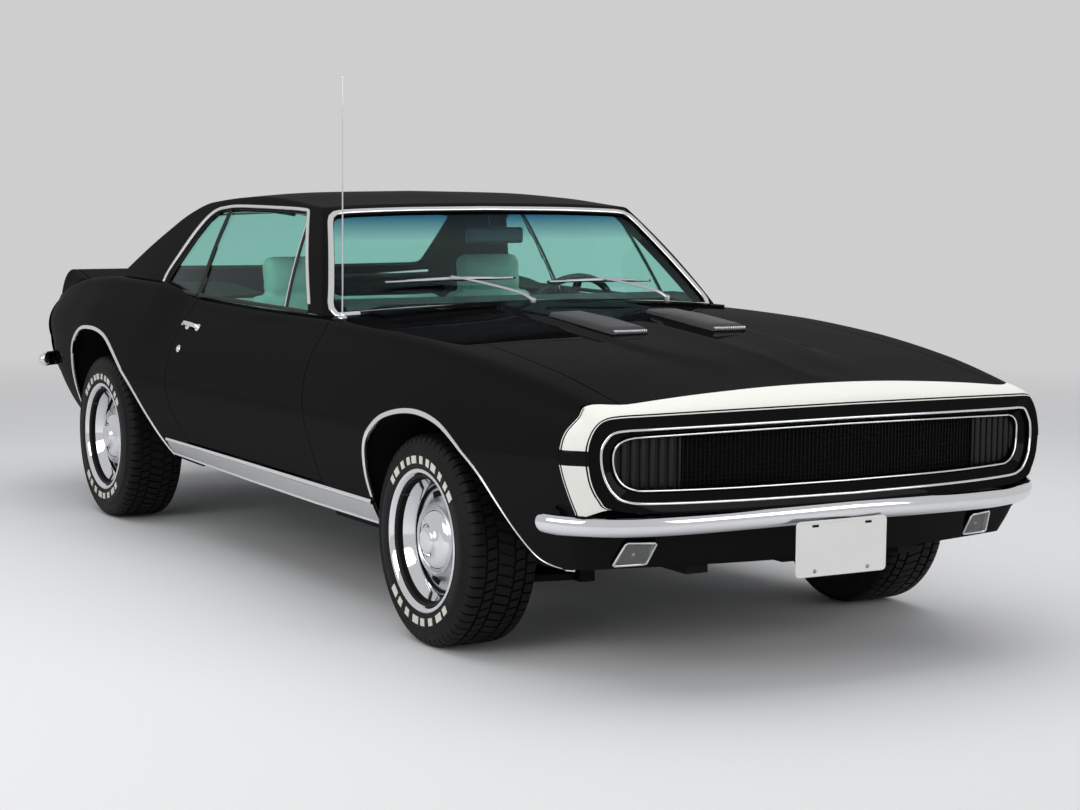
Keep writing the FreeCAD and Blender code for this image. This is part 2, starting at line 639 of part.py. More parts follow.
def make_quarters(outer, shell):
    region = block(DECK_HALF_WIDTH, FAR_X, 1800, DECK_REAR + 4, 0, 1200)
    quarter = shell.common(region).cut(ahead_of_quarter(SHUT_GAP))
    side_wall = body_solid(SKIN - 1).common(block(CABIN_SIDE_X, FAR_X, 1800, CABIN_REAR, 0, 1200))
    side_wall = side_wall.cut(ahead_of_quarter(SHUT_GAP + DOOR_RETURN)).cut(Part.Compound(arch_openings()))
    cabin_cut = block(-CABIN_SIDE_X + 14, CABIN_SIDE_X - 14, 700, CABIN_REAR, 860, 1000)
    axle_window = block(300, FAR_X, WHEELBASE - 90, WHEELBASE + 90, 0, REAR_TYRE_RADIUS + 90)
    liner = arch_liner(REAR_ARCH, (WHEELBASE, 330), REAR_LINER_X, axle_window).common(body_solid(SKIN - 2))
    liner = liner.common(block(300, FAR_X, 2000, 3400, BOOT_FLOOR_Z, 1200))
    end_cap = side_prism(SPOILER_PROFILE, DECK_HALF_WIDTH, SPOILER_HALF_WIDTH).cut(outer)
    save_pair("quarter", quarter.fuse(side_wall).cut(cabin_cut).fuse([liner, end_cap]))


def make_deck(outer, roof_solid):
    """The lid with its spoiler, the tail and the shelf behind the rear seat."""
    half = DECK_HALF_WIDTH - SHUT_GAP
    lid_box = block(-half, half, DECK_FRONT, DECK_REAR - SHUT_GAP, 600, 1200)
    save("trunk_lid", top_layer(outer, HOOD_WALL).common(lid_box))
    tail = outer.common(block(-1000, 1000, DECK_REAR + 5, TAIL_STATION, 0, 1200))
    inside = DECK_HALF_WIDTH - SEAM_GAP
    shelf = top_layer(outer, SKIN).common(block(-inside, inside, CABIN_REAR, DECK_FRONT - SHUT_GAP, 700, 1200))
    save("tail_panel", Part.Compound([tail, shelf.cut(roof_solid.cut(outer))]))
    over_tail = moved(outer, 0, 0, SHUT_GAP).common(block(-half, half, DECK_REAR - SHUT_GAP, TAIL_STATION, 0, 1200))
    save("spoiler", side_prism(SPOILER_PROFILE, -half, half).cut(outer).cut(over_tail))


def make_roof_and_glass(outer, roof_solid):
    glass = greenhouse_solid(GLASS_INSET).cut(greenhouse_solid(GLASS_INSET + GLASS_THICK)).cut(outer)
    front_glass = front_prism(WINDSCREEN_OUTLINE, 600, 1330)
    rear_glass = front_prism(REAR_WINDOW_OUTLINE, 2300, 3100)
    side_hole = both_sides(side_prism(SIDE_WINDOW_OUTLINE, 400, 1000))
    over_door = moved(outer, 0, 0, SHUT_GAP + 1).common(door_prism(CABIN_SIDE_X - SHUT_GAP, FAR_X, SHUT_GAP))
    roof = roof_solid.cut(greenhouse_solid(ROOF_WALL)).cut(outer)
    save("roof", roof.cut(front_glass).cut(rear_glass).cut(side_hole).cut(both_sides(over_door)))
    save("windshield", glass.common(front_glass))
    save("rear_window", glass.common(rear_glass))
    ahead_of_split = side_prism([(700, 860)] + list(GLASS_SPLIT) + [(700, 1230)], 400, 1000)
    behind_split = side_prism([(s + 9, z) for s, z in GLASS_SPLIT] + [(2400, 1230), (2400, 860)], 400, 1000)
    save_pair("door_glass", glass.common(side_prism(side_outline(7.0), 400, 1000)).common(ahead_of_split))
    save("quarter_glass", both_sides(glass.common(side_prism(side_outline(0.0), 400, 1000)).common(behind_split)))


def make_cowl(outer):
    """The cowl with the firewall below it."""
    edge = HOOD_HALF_WIDTH - SEAM_GAP
    end = CABIN_SIDE_X - 6
    right = ((edge, HOOD_REAR + SHUT_GAP), (edge, 783), (end, 783), (end, 940), (620, 885), (350, 812))
    outline = right + ((0, 780),) + tuple((-x, s) for x, s in reversed(right))
    cowl = top_layer(outer, SKIN).common(plan_prism(outline, 700, 1200))
    firewall = outer.common(block(-640, 640, FIREWALL_STATION, FIREWALL_STATION + 12, FLOOR_Z + FLOOR_WALL, 1200))
    tunnel = Part.makeCylinder(TUNNEL_RADIUS, 3000, v(0, 0, FLOOR_Z), Vector(0, 1, 0))
    save("cowl", cowl.fuse(firewall.cut(tunnel)))


def make_floor(outer):
    wall = FLOOR_WALL
    cabin_floor = block(-720, 720, FIREWALL_STATION, SEAT_PAN_STATION + wall, FLOOR_Z, FLOOR_Z + wall)
    half = REAR_LINER_X - SEAM_GAP
    levels = ((SEAT_PAN_STATION, AXLE_FRONT + wall, BOOT_FLOOR_Z), (AXLE_FRONT, AXLE_REAR, AXLE_ARCH_Z),
              (AXLE_REAR - wall, 3560, BOOT_FLOOR_Z))
    sheets = [block(-half, half, s0, s1, z, z + wall) for s0, s1, z in levels]
    rises = ((SEAT_PAN_STATION, FLOOR_Z, BOOT_FLOOR_Z), (AXLE_FRONT, BOOT_FLOOR_Z, AXLE_ARCH_Z),
             (AXLE_REAR - wall, BOOT_FLOOR_Z, AXLE_ARCH_Z))
    sheets += [block(-half, half, s, s + wall, low, high + wall) for s, low, high in rises]
    length = SEAT_PAN_STATION - FIREWALL_STATION
    tunnel = Part.makeCylinder(TUNNEL_RADIUS, length, v(0, FIREWALL_STATION, FLOOR_Z), Vector(0, 1, 0))
    tunnel = tunnel.common(block(-200, 200, 600, 2300, FLOOR_Z, 900))
    hollow = Part.makeCylinder(TUNNEL_RADIUS - wall, length + 40, v(0, FIREWALL_STATION - 20, FLOOR_Z), Vector(0, 1, 0))
    seat_pan_wall = block(-200, 200, SEAT_PAN_STATION, 2300, BOOT_FLOOR_Z - 2, 900)
    rocker = outer.common(block(700, FAR_X, 710, 1900, 0, DOOR_BOTTOM - SHUT_GAP))
    rocker = rocker.common(ahead_of_quarter(SHUT_GAP - SEAM_GAP))
    floor = cabin_floor.fuse(sheets + [tunnel, rocker, mirrored(rocker)])
    save("floor_pan", floor.cut(hollow.cut(seat_pan_wall)))


# ---------------------------------------------------------------- running gear, bumpers and cabin
def make_running_gear(outer):
    support = block(*RADIATOR_SUPPORT_BOX).common(moved(outer, 0, 0, -HOOD_WALL - SEAT_GAP))
    save("front_subframe", front_subframe().fuse(support.common(body_solid(SKIN))))
    save("engine_block", block(*ENGINE_BOX))
    gearbox = Part.makeCone(*GEARBOX_RADII, PROPSHAFT_FRONT + 20 - GEARBOX_FRONT,
                            v(0, GEARBOX_FRONT, PROPSHAFT_Z + 20), Vector(0, 1, 0))
    shaft = Part.makeCylinder(PROPSHAFT_RADIUS, WHEELBASE - PROPSHAFT_FRONT - 20, v(0, PROPSHAFT_FRONT, PROPSHAFT_Z),
                              Vector(0, 1, 0))
    differential = x_cylinder(DIFFERENTIAL_RADIUS, -200, 200, WHEELBASE, REAR_TYRE_RADIUS)
    save("driveline", gearbox.fuse(shaft).cut(differential))
    spring = leaf_spring()
    save("rear_axle", Part.Compound([rear_axle(), spring, mirrored(spring)]))
    pipe = Part.makeCylinder(PIPE_RADIUS, 1600, v(PIPE_X, 520, FLOOR_Z - PIPE_RADIUS - SEAT_GAP), Vector(0, 1, 0))
    save("exhaust", Part.Compound([pipe, mirrored(pipe), block(*SILENCER_BOX)]))
    save("fuel_tank", block(*TANK_BOX))
    save_pair("knuckle", knuckle(1))


def make_wheels():
    for name, radius, station in (("front", FRONT_TYRE_RADIUS, 0.0), ("rear", REAR_TYRE_RADIUS, WHEELBASE)):
        for side_name, side in (("left", 1), ("right", -1)):
            save(f"tyre_{name}_{side_name}", tyre(radius, station, side))
            save(f"rim_{name}_{side_name}", rim(radius, station, side))


def bumper_bar(plan, heights):
    """A bar drawn from above and given its height."""
    low, high = heights

    def curve(name):
        return arc(*[v(x, s, low) for x, s in plan[name]])

    tip = line(v(*plan["corner"][2], low), v(*plan["inner_corner"][0], low))
    half = [curve("corner"), tip, curve("inner_corner")]
    edges = [curve("outside"), curve("inside")] + half + [mirrored(e) for e in half]
    return Part.Face(Part.Wire(Part.__sortEdges__(edges))).extrude(Vector(0, 0, high - low))


def make_bumpers(outer, nose_outer):
    bar = bumper_bar(FRONT_BUMPER, FRONT_BUMPER_HEIGHTS).cut(nose_outer).cut(outer)
    front = -FRONT_OVERHANG
    plate = block(PLATE_X - 152, PLATE_X + 152, front, front + 3, PLATE_Z - 76, PLATE_Z + 76)
    for x in (PLATE_X - PLATE_HOLE_SPACING / 2, PLATE_X + PLATE_HOLE_SPACING / 2):
        plate = plate.cut(Part.makeCylinder(PLATE_HOLE_RADIUS, 20, v(x, front - 5, PLATE_Z - 61), Vector(0, 1, 0)))
    tab = block(PLATE_X - 30, PLATE_X + 30, front + 3, -860, 419, 438)
    save("front_bumper", bar.fuse([plate, tab]).cut(nose_outer))
    save("rear_bumper", bumper_bar(REAR_BUMPER, REAR_BUMPER_HEIGHTS).cut(outer))
    save("rear_lamps", both_sides(block(*REAR_LAMP_BOX)))


def front_seat():
    """The left front seat: its base, cushion and tilted back."""
    x0, x1 = SEAT_INNER_X, SEAT_OUTER_X
    base = block(x0 + 40, x1 - 40, 1380, 1760, FLOOR_Z + FLOOR_WALL, 380)
    cushion = rounded_block(x0, x1, 1300, 1830, 370, 510, 40)
    back_rest = rounded_block(x0 + 10, x1 - 10, 1790, 1920, 420, 990, 45)
    back_rest.rotate(v(0, 1850, 420), Vector(1, 0, 0), -SEAT_BACK_TILT)
    return base.fuse([cushion, back_rest])


def make_cabin(outer, inner):
    save("front_seats", both_sides(front_seat()))
    half = BENCH_HALF_WIDTH
    bench = rounded_block(-half, half, 2170, 2560, BOOT_FLOOR_Z + FLOOR_WALL, 500, 40)
    save("rear_seat", bench.fuse(rounded_block(-half, half, 2468, 2588, 420, 880, 40)))
    dash = side_prism(DASH_PROFILE, -DASH_HALF_WIDTH, DASH_HALF_WIDTH)
    dash = dash.cut(moved(outer, 0, 0, -SKIN).cut(outer)).cut(outer.cut(inner))
    tilt = math.radians(COLUMN_TILT)
    along = Vector(0, math.cos(tilt), math.sin(tilt))
    centre = v(STEERING_X, STEERING_STATION, STEERING_Z)
    column_end = centre - along * WHEEL_HUB_DEPTH
    column = Part.makeCylinder(COLUMN_RADIUS, COLUMN_LENGTH, column_end - along * COLUMN_LENGTH, along)
    save("dashboard", dash.fuse(column))
    ring = Part.makeTorus(STEERING_RADIUS, WHEEL_RIM_RADIUS, centre, along)
    hub = Part.makeCylinder(34, WHEEL_HUB_DEPTH - SEAT_GAP, column_end + along * SEAT_GAP, along)
    spokes = []
    for angle in (90, 210, 330):
        spoke = Part.makeBox(STEERING_RADIUS, 30, 8, Vector(0, -15, -8))
        spoke.rotate(Vector(0, 0, 0), Vector(0, 0, 1), angle - 180)
        spoke.Placement = Placement(centre, Rotation(Vector(0, 0, 1), along)).multiply(spoke.Placement)
        spokes.append(spoke)
    save("steering_wheel", ring.fuse([hub] + spokes))


def wiper(pivot, joint, blade_start, blade_end):
    arm_way = v(*joint) - v(*pivot)
    arm = Part.makeCylinder(WIPER_RADIUS, arm_way.Length, v(*pivot), arm_way)
    blade_way = v(*blade_end) - v(*blade_start)
    blade = Part.makeCylinder(WIPER_RADIUS, blade_way.Length, v(*blade_start), blade_way)
    post = Part.makeCylinder(9, 30, v(*pivot) - Vector(0, 0, 24))
    return arm.fuse([blade, post])


def make_wipers_and_antenna(outer):
    save("wipers", Part.Compound([wiper(*points).cut(outer) for points in WIPERS]))
    mast = Part.makeCone(4, 2, ANTENNA_LENGTH, v(ANTENNA_X, ANTENNA_STATION, 874))
    base = Part.makeCone(14, 6, 26, v(ANTENNA_X, ANTENNA_STATION, 872))
    save("antenna", mast.fuse(base).cut(outer))


def main():
    os.makedirs("parts", exist_ok=True)
    outer = body_solid(0)
    inner = body_solid(SKIN)
    shell = outer.cut(inner).cut(Part.Compound(arch_openings()))
    nose_outer = nose_solid(0)
    roof_solid = greenhouse_solid(0)
    make_doors(outer)
    make_wings(shell)
    make_hood(outer)
    make_nose(nose_outer)
    make_quarters(outer, shell)
    make_deck(outer, roof_solid)
    make_roof_and_glass(outer, roof_solid)
    make_cowl(outer)
    make_floor(outer)
    make_running_gear(outer)
    make_wheels()
    make_bumpers(outer, nose_outer)
    make_cabin(outer, inner)
    make_wipers_and_antenna(outer)


main()
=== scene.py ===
"""Dresses the packed hardtop: paint, trim, glass, wheels, cabin and a plain studio.

Lengths in the tables are millimetres. Stations are distances behind the front axle, heights are above the ground.
"""

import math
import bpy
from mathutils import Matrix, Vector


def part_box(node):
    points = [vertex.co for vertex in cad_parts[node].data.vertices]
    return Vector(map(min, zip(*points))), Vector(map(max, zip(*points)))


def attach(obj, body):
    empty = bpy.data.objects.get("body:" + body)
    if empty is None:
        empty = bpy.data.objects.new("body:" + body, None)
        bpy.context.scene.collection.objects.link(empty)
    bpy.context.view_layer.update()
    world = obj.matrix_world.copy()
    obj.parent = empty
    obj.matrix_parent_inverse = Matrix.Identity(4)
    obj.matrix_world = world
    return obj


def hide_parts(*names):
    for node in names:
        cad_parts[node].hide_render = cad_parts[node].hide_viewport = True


bl_info = {
    "name": "Hardtop dressing",
    "version": (1, 0, 0),
    "blender": (4, 5, 0),
    "location": "View3D > Sidebar > Hardtop",
    "description": "Body panels, trim, glass, wheels, cabin and studio of a two-door hardtop",
    "category": "Object",
}

import bpy
import numpy as np
from bpy.props import FloatProperty, FloatVectorProperty, PointerProperty
from mathutils import Matrix, Vector

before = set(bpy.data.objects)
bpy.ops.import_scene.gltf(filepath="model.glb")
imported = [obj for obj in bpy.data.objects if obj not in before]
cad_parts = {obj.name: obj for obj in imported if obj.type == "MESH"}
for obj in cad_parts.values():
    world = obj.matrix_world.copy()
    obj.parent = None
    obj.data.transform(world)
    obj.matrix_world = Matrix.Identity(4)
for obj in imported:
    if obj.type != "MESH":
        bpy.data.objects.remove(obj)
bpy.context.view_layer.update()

MM = 0.001
FRONT_AXLE_Y = (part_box("rim_front_left")[0][1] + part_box("rim_front_left")[1][1]) / 2
WHEELBASE = ((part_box("rim_rear_left")[0][1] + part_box("rim_rear_left")[1][1]) / 2 - FRONT_AXLE_Y) / MM
ROOT = "shell"
SIDES = (("left", 1), ("right", -1))
PANEL_GAP = 2.0            # half of the gap between two painted panels


# ---------------------------------------------------------------- numbers and curves
def smooth_table(xs, ys, at):
    """A curve through (xs, ys) with rounded turns and no overshoot."""
    xs = np.asarray(xs, float)
    ys = np.asarray(ys, float)
    at = np.clip(np.asarray(at, float), xs[0], xs[-1])
    step = np.diff(xs)
    slope = np.diff(ys) / step
    tangent = np.zeros(len(xs))
    tangent[0], tangent[-1] = slope[0], slope[-1]
    for i in range(1, len(xs) - 1):
        if slope[i - 1] * slope[i] > 0:
            w0, w1 = 2 * step[i] + step[i - 1], step[i] + 2 * step[i - 1]
            tangent[i] = (w0 + w1) / (w0 / slope[i - 1] + w1 / slope[i])
    i = np.clip(np.searchsorted(xs, at) - 1, 0, len(xs) - 2)
    t = (at - xs[i]) / step[i]
    h = step[i]
    return ((2 * t**3 - 3 * t**2 + 1) * ys[i] + (t**3 - 2 * t**2 + t) * h * tangent[i]
            + (-2 * t**3 + 3 * t**2) * ys[i + 1] + (t**3 - t**2) * h * tangent[i + 1])


def catmull(points, steps):
    """A Catmull-Rom curve: steps points to each span between the given ones, and the last of them."""
    p = np.asarray(points, float)
    ext = np.vstack([2 * p[0] - p[1], p, 2 * p[-1] - p[-2]])
    t = np.linspace(0, 1, steps, endpoint=False)[:, None]
    spans = [0.5 * (2 * b + (c - a) * t + (2 * a - 5 * b + 4 * c - d) * t**2 + (3 * b - a - 3 * c + d) * t**3)
             for a, b, c, d in zip(ext, ext[1:], ext[2:], ext[3:])]
    return np.vstack(spans + [p[-1:]])


def spline(points, count):
    """count points, evenly spaced, on a smooth curve through the given points."""
    p = np.asarray(points, float)
    if len(p) == 2:
        return p[0] + (p[1] - p[0]) * np.linspace(0, 1, count)[:, None]
    dense = catmull(p, 24)
    along = np.concatenate([[0], np.cumsum(np.linalg.norm(np.diff(dense, axis=0), axis=1))])
    want = np.linspace(0, along[-1], count)
    return np.stack([np.interp(want, along, dense[:, k]) for k in range(p.shape[1])], 1)


def table_row(table, at):
    """The smoothed values of a table's other columns where its first column has the given value."""
    return [float(smooth_table(table[:, 0], column, [at])[0]) for column in table.T[1:]]


def unit(v):
    """A direction made one long, or each row of several."""
    return v / (np.linalg.norm(v) if v.ndim == 1 else np.linalg.norm(v, axis=1)[:, None])


def halved(low, high, goes_on):
    """The place between low and high where a condition stops holding, by halving."""
    for _ in range(30):
        middle = (low + high) / 2
        if goes_on(middle):
            low = middle
        else:
            high = middle
    return low


def smoothstep(low, high, x):
    """0 below low, 1 above high, and a soft rise between."""
    t = np.clip((np.asarray(x, float) - low) / (high - low), 0, 1)
    return t * t * (3 - 2 * t)


def place(points):
    """(half-width, station, height) in millimetres to the frame, in metres."""
    p = np.array(points, float).reshape(-1, 3) * MM
    p[:, 1] += FRONT_AXLE_Y
    return p


# ---------------------------------------------------------------- shader nodes
class Socket:
    """A node socket whose arithmetic adds Math nodes."""

    def __init__(self, shader, socket):
        self.shader = shader
        self.socket = socket

    def math(self, operation, other=0.0):
        return self.shader.node("ShaderNodeMath", {"operation": operation}, {0: self, 1: other})

    def __add__(self, other):
        return self.math("ADD", other)

    __radd__ = __add__

    def __sub__(self, other):
        return self.math("SUBTRACT", other)

    def __rsub__(self, other):
        return self.shader.node("ShaderNodeMath", {"operation": "SUBTRACT"}, {0: other, 1: self})

    def __mul__(self, other):
        return self.math("MULTIPLY", other)

    __rmul__ = __mul__

    def __truediv__(self, other):
        return self.math("DIVIDE", other)

    def clamp(self):
        return self.shader.node("ShaderNodeClamp", {}, {0: self})


class Shader:
    """One material and its nodes."""

    def __init__(self, name):
        self.material = bpy.data.materials.new(name)
        self.material.use_nodes = True
        self.tree = self.material.node_tree
        self.tree.nodes.clear()
        self.output = self.tree.nodes.new("ShaderNodeOutputMaterial")

    def node(self, kind, settings, inputs, out=0):
        """Adds a node: its settings first, then the values or links of its sockets."""
        node = self.tree.nodes.new(kind)
        for key, value in settings.items():
            setattr(node, key, value)
        for key, value in inputs.items():
            self.put(node.inputs[key], value)
        return Socket(self, node.outputs[out])

    def put(self, socket, value):
        if isinstance(value, Socket):
            self.tree.links.new(value.socket, socket)
        elif isinstance(value, (tuple, list)) and len(value) == 3 and socket.type == "RGBA":
            socket.default_value = (*value, 1.0)
        else:
            socket.default_value = value

    def coords(self):
        node = self.tree.nodes.new("ShaderNodeTexCoord")
        return Socket(self, node.outputs["Object"])

    def axis(self, index):
        """One coordinate of the shaded point in metres: 0 across, 1 along, 2 up."""
        split = self.tree.nodes.new("ShaderNodeSeparateXYZ")
        self.tree.links.new(self.coords().socket, split.inputs[0])
        return Socket(self, split.outputs[index])

    def noise(self, scale, detail=3.0, roughness=0.55):
        return self.node("ShaderNodeTexNoise", {}, {"Vector": self.coords(), "Scale": scale, "Detail": detail,
                                                    "Roughness": roughness})

    def mix(self, factor, a, b):
        mixer = self.tree.nodes.new("ShaderNodeMix")
        mixer.data_type = "RGBA"
        self.put(mixer.inputs[0], factor)
        self.put(mixer.inputs[6], a)
        self.put(mixer.inputs[7], b)
        return Socket(self, mixer.outputs[2])

    def bump(self, height, strength=0.2, distance=0.001):
        return self.node("ShaderNodeBump", {}, {"Strength": strength, "Distance": distance, "Height": height})

    def principled(self, **inputs):
        shader = self.tree.nodes.new("ShaderNodeBsdfPrincipled")
        for key, value in inputs.items():
            self.put(shader.inputs[key.replace("_", " ")], value)
        self.tree.links.new(shader.outputs[0], self.output.inputs[0])
        return Socket(self, shader.outputs[0])

    def surface(self, socket):
        self.tree.links.new(socket.socket, self.output.inputs[0])


BLACK = (0.003, 0.003, 0.003)
POLISH_RELIEF = 0.0002      # depth in metres of the relief of paint and plating
GRAIN_RELIEF = 0.0004       # the same for moulded plastic and rubber
GAP_EDGE = 2000.0           # steepness of a painted edge, per metre


def paint(name, colour, orange_peel=0.05, coat=0.08, gap=None):
    """Deep gloss paint with a faint orange peel under its clear coat; gap is a pair of heights painted black."""
    s = Shader(name)
    peel = s.noise(900.0, 2.0)
    haze = s.noise(3.0, 4.0)
    shade = s.mix(haze * 0.12, colour, tuple(min(1.0, c * 1.25 + 0.002) for c in colour))
    if gap:
        z = s.axis(2)
        between = ((z - gap[0]) * GAP_EDGE).clamp() * ((gap[1] - z) * GAP_EDGE).clamp()
        shade = s.mix(between, shade, BLACK)
    s.principled(Base_Color=shade, Roughness=haze * 0.05 + 0.35, Specular_IOR_Level=0.0, Coat_Weight=coat,
                 Coat_IOR=2.0, Coat_Roughness=0.02, Normal=s.bump(peel, orange_peel, POLISH_RELIEF))
    return s.material


def metal(name, colour, roughness, scratches=0.03):
    """Plated or bare metal with a faint variation of its polish."""
    s = Shader(name)
    grain = s.noise(60.0, 4.0)
    s.principled(Base_Color=s.mix(grain * 0.25, colour, tuple(c * 0.86 for c in colour)), Metallic=1.0,
                 Roughness=grain * 0.06 + roughness, Normal=s.bump(s.noise(350.0), scratches, POLISH_RELIEF))
    return s.material


def plastic(name, colour, roughness, grain=0.25, size=1400.0, shine=0.5):
    """Moulded plastic or a dull coat with pores and slight wear."""
    s = Shader(name)
    pores = s.noise(size, 3.0)
    wear = s.noise(9.0, 4.0)
    s.principled(Base_Color=s.mix(wear * 0.3, colour, tuple(min(1.0, c * 1.5 + 0.004) for c in colour)),
                 Specular_IOR_Level=shine, Roughness=wear * 0.12 + roughness, Normal=s.bump(pores, grain, GRAIN_RELIEF))
    return s.material


def glass(name, tint, band=None):
    """Tinted safety glass that lets the lamps light the cabin; band is two heights and the shade from one to the other.
    """
    s = Shader(name)
    colour = tint
    if band:
        low, high, dark = band
        colour = s.mix(((s.axis(2) - low) / (high - low)).clamp(), tint, dark)
    path = s.tree.nodes.new("ShaderNodeLightPath")
    lamplight = Socket(s, path.outputs["Is Shadow Ray"])
    s.principled(Base_Color=colour, Transmission_Weight=1.0, Roughness=0.0, IOR=1.12, Specular_IOR_Level=0.0,
                 Alpha=1.0 - lamplight * 0.4)
    return s.material


def lens(name, colour, alpha):
    """Moulded lamp lens with fine flutes."""
    s = Shader(name)
    flutes = s.node("ShaderNodeMath", {"operation": "SINE"}, {0: s.axis(0) * 900.0})
    s.principled(Base_Color=colour, Roughness=s.noise(40.0) * 0.05 + 0.06, Alpha=alpha,
                 Normal=s.bump(flutes, 0.35, 0.001))
    return s.material


def rubber(name):
    """Tyre rubber with a little dust."""
    s = Shader(name)
    dust = s.noise(26.0, 5.0)
    fine = s.noise(1100.0, 3.0)
    s.principled(Base_Color=s.mix(dust * 0.7, (0.0025, 0.0025, 0.0025), (0.006, 0.006, 0.0058)),
                 Roughness=dust * 0.14 + 0.52, Specular_IOR_Level=0.2, Normal=s.bump(fine, 0.35, GRAIN_RELIEF))
    return s.material


def vinyl(name, colour, dark):
    """Grained vinyl with darker patches."""
    s = Shader(name)
    cells = s.node("ShaderNodeTexVoronoi", {}, {"Vector": s.coords(), "Scale": 420.0})
    patches = s.noise(7.0, 4.0)
    s.principled(Base_Color=s.mix(patches * 0.6, colour, dark), Roughness=patches * 0.12 + 0.42,
                 Normal=s.bump(cells, 0.4, 0.0006))
    return s.material


def carpet(name, colour):
    """Short carpet pile."""
    s = Shader(name)
    pile = s.noise(700.0, 5.0, 0.8)
    s.principled(Base_Color=s.mix(pile, colour, tuple(c * 0.4 for c in colour)), Roughness=0.95,
                 Normal=s.bump(pile, 1.0, 0.002))
    return s.material


MATERIALS = {}


def make_materials(look):
    """Every material by the short name that the pieces use."""
    black = tuple(look.paint_colour)
    cream = tuple(look.band_colour)
    MATERIALS.update(
        black=paint("gloss_black", black),
        cream=paint("band_cream", cream, 0.04, 0.10, (0.612, 0.652)),
        hairline=paint("pinstripe_black", BLACK, 0.03, 0.05),
        vent=plastic("vent_black", (0.020, 0.020, 0.022), 0.42, 0.3),
        chrome=metal("chrome", (0.80, 0.81, 0.83), 0.035),
        bright=metal("polished_trim", (0.86, 0.86, 0.87), 0.17, 0.06),
        brushed=metal("brushed_band", (0.60, 0.61, 0.63), 0.30, 0.25),
        silver=metal("wheel_silver", (0.62, 0.63, 0.66), 0.26, 0.10),
        steel=metal("bare_steel", (0.30, 0.30, 0.30), 0.45, 0.4),
        iron=metal("painted_iron", (0.10, 0.10, 0.11), 0.55, 0.6),
        under=plastic("underbody_black", (0.005, 0.005, 0.005), 0.70, 0.6, 500.0, 0.2),
        liner=plastic("wheelhouse_black", (0.004, 0.004, 0.004), 0.85, 0.6, 400.0, 0.15),
        grille=plastic("grille_black", (0.004, 0.004, 0.0045), 0.40, 0.15, 1400.0, 0.25),
        cover=plastic("headlamp_cover_black", (0.003, 0.003, 0.0035), 0.36, 0.12, 1400.0, 0.2),
        seal=plastic("rubber_seal", (0.008, 0.008, 0.008), 0.60, 0.3),
        dash=plastic("dash_black", (0.014, 0.014, 0.015), 0.52, 0.5, 900.0),
        headliner=plastic("headliner", (0.010, 0.010, 0.011), 0.85, 0.6, 800.0, 0.2),
        rubber=rubber("tyre_rubber"),
        white_rubber=plastic("sidewall_white", (0.62, 0.60, 0.54), 0.55, 0.2),
        glass=glass("tinted_glass", (0.55, 0.86, 0.80)),
        screen=glass("shaded_screen", (0.60, 0.88, 0.83), (1.13, 1.215, (0.008, 0.16, 0.34))),
        lens=lens("clear_lens", (0.45, 0.46, 0.46), 0.18),
        bowl=metal("lamp_bowl", (0.22, 0.22, 0.22), 0.30, 0.10),
        red=lens("red_lens", (0.32, 0.006, 0.008), 0.96),
        amber=plastic("amber_bulb", (0.80, 0.30, 0.03), 0.2),
        mint=vinyl("mint_vinyl", (0.50, 0.66, 0.56), (0.38, 0.53, 0.45)),
        carpet=carpet("carpet_black", (0.020, 0.020, 0.021)),
        mirror=metal("mirror_face", (0.85, 0.85, 0.85), 0.02, 0.0),
        mirror_back=plastic("mirror_back_blue", (0.004, 0.020, 0.040), 0.25, 0.1),
        plate=plastic("plate_blank", (0.70, 0.70, 0.68), 0.40, 0.1),
    )


# ---------------------------------------------------------------- mesh helpers
def make_mesh(name, points, faces, material, body=ROOT, smooth=30.0, in_place=False):
    """A finished piece at the origin, riding on a body. Points are (half-width, station, height) in millimetres."""
    mesh = bpy.data.meshes.new(name)
    mesh.from_pydata(points if in_place else place(points).tolist(), [], faces)
    mesh.validate()
    obj = bpy.data.objects.new(name, mesh)
    bpy.context.scene.collection.objects.link(obj)
    materials = material if isinstance(material, (list, tuple)) else [material]
    for key in materials:
        mesh.materials.append(MATERIALS[key])
    shade(mesh, smooth)
    if body:
        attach(obj, body)
    return obj


def fitted(name, part, material, *nodes, smooth=40.0, body=ROOT):
    """A piece that stands for the named nodes, or one of its own."""
    obj = make_mesh(name, *part, material, body, smooth)
    if nodes:
        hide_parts(*nodes)
    return obj


def seen_mesh(obj):
    """A new mesh of an object as its modifiers leave it."""
    bpy.context.view_layer.update()
    return bpy.data.meshes.new_from_object(obj.evaluated_get(bpy.context.evaluated_depsgraph_get()))


def shade(mesh, angle):
    """Smooth shading, with sharp edges where faces turn by more than the angle."""
    mesh.shade_smooth()
    mesh.update()
    if angle < 180:
        mesh.set_sharp_from_angle(angle=math.radians(angle))


def mirrored(points, faces):
    """The mirror image across the centre line."""
    p = np.array(points, float)
    p[:, 0] *= -1
    return p, [tuple(reversed(f)) for f in faces]


def sided(part, sign):
    """A left part as it is, or its mirror image for the right side."""
    return part if sign > 0 else mirrored(*part)


def joined(*parts):
    """Several (points, faces) as one."""
    points, faces, start = [], [], 0
    for p, f in parts:
        points.append(np.asarray(p, float))
        faces += [tuple(i + start for i in face) for face in f]
        start += len(p)
    return np.vstack(points), faces


def both(part):
    """A left part with its mirror image."""
    return joined(part, mirrored(*part))


def grid_faces(rows, columns, close_rows=False, close_columns=False, flip=False):
    """Quads over a grid of points, which may close on itself either way."""
    faces = []
    for i in range(rows if close_rows else rows - 1):
        for j in range(columns if close_columns else columns - 1):
            a, b = i * columns + j, i * columns + (j + 1) % columns
            d, c = (i + 1) % rows * columns + j, (i + 1) % rows * columns + (j + 1) % columns
            faces.append((d, c, b, a) if flip else (a, b, c, d))
    return faces


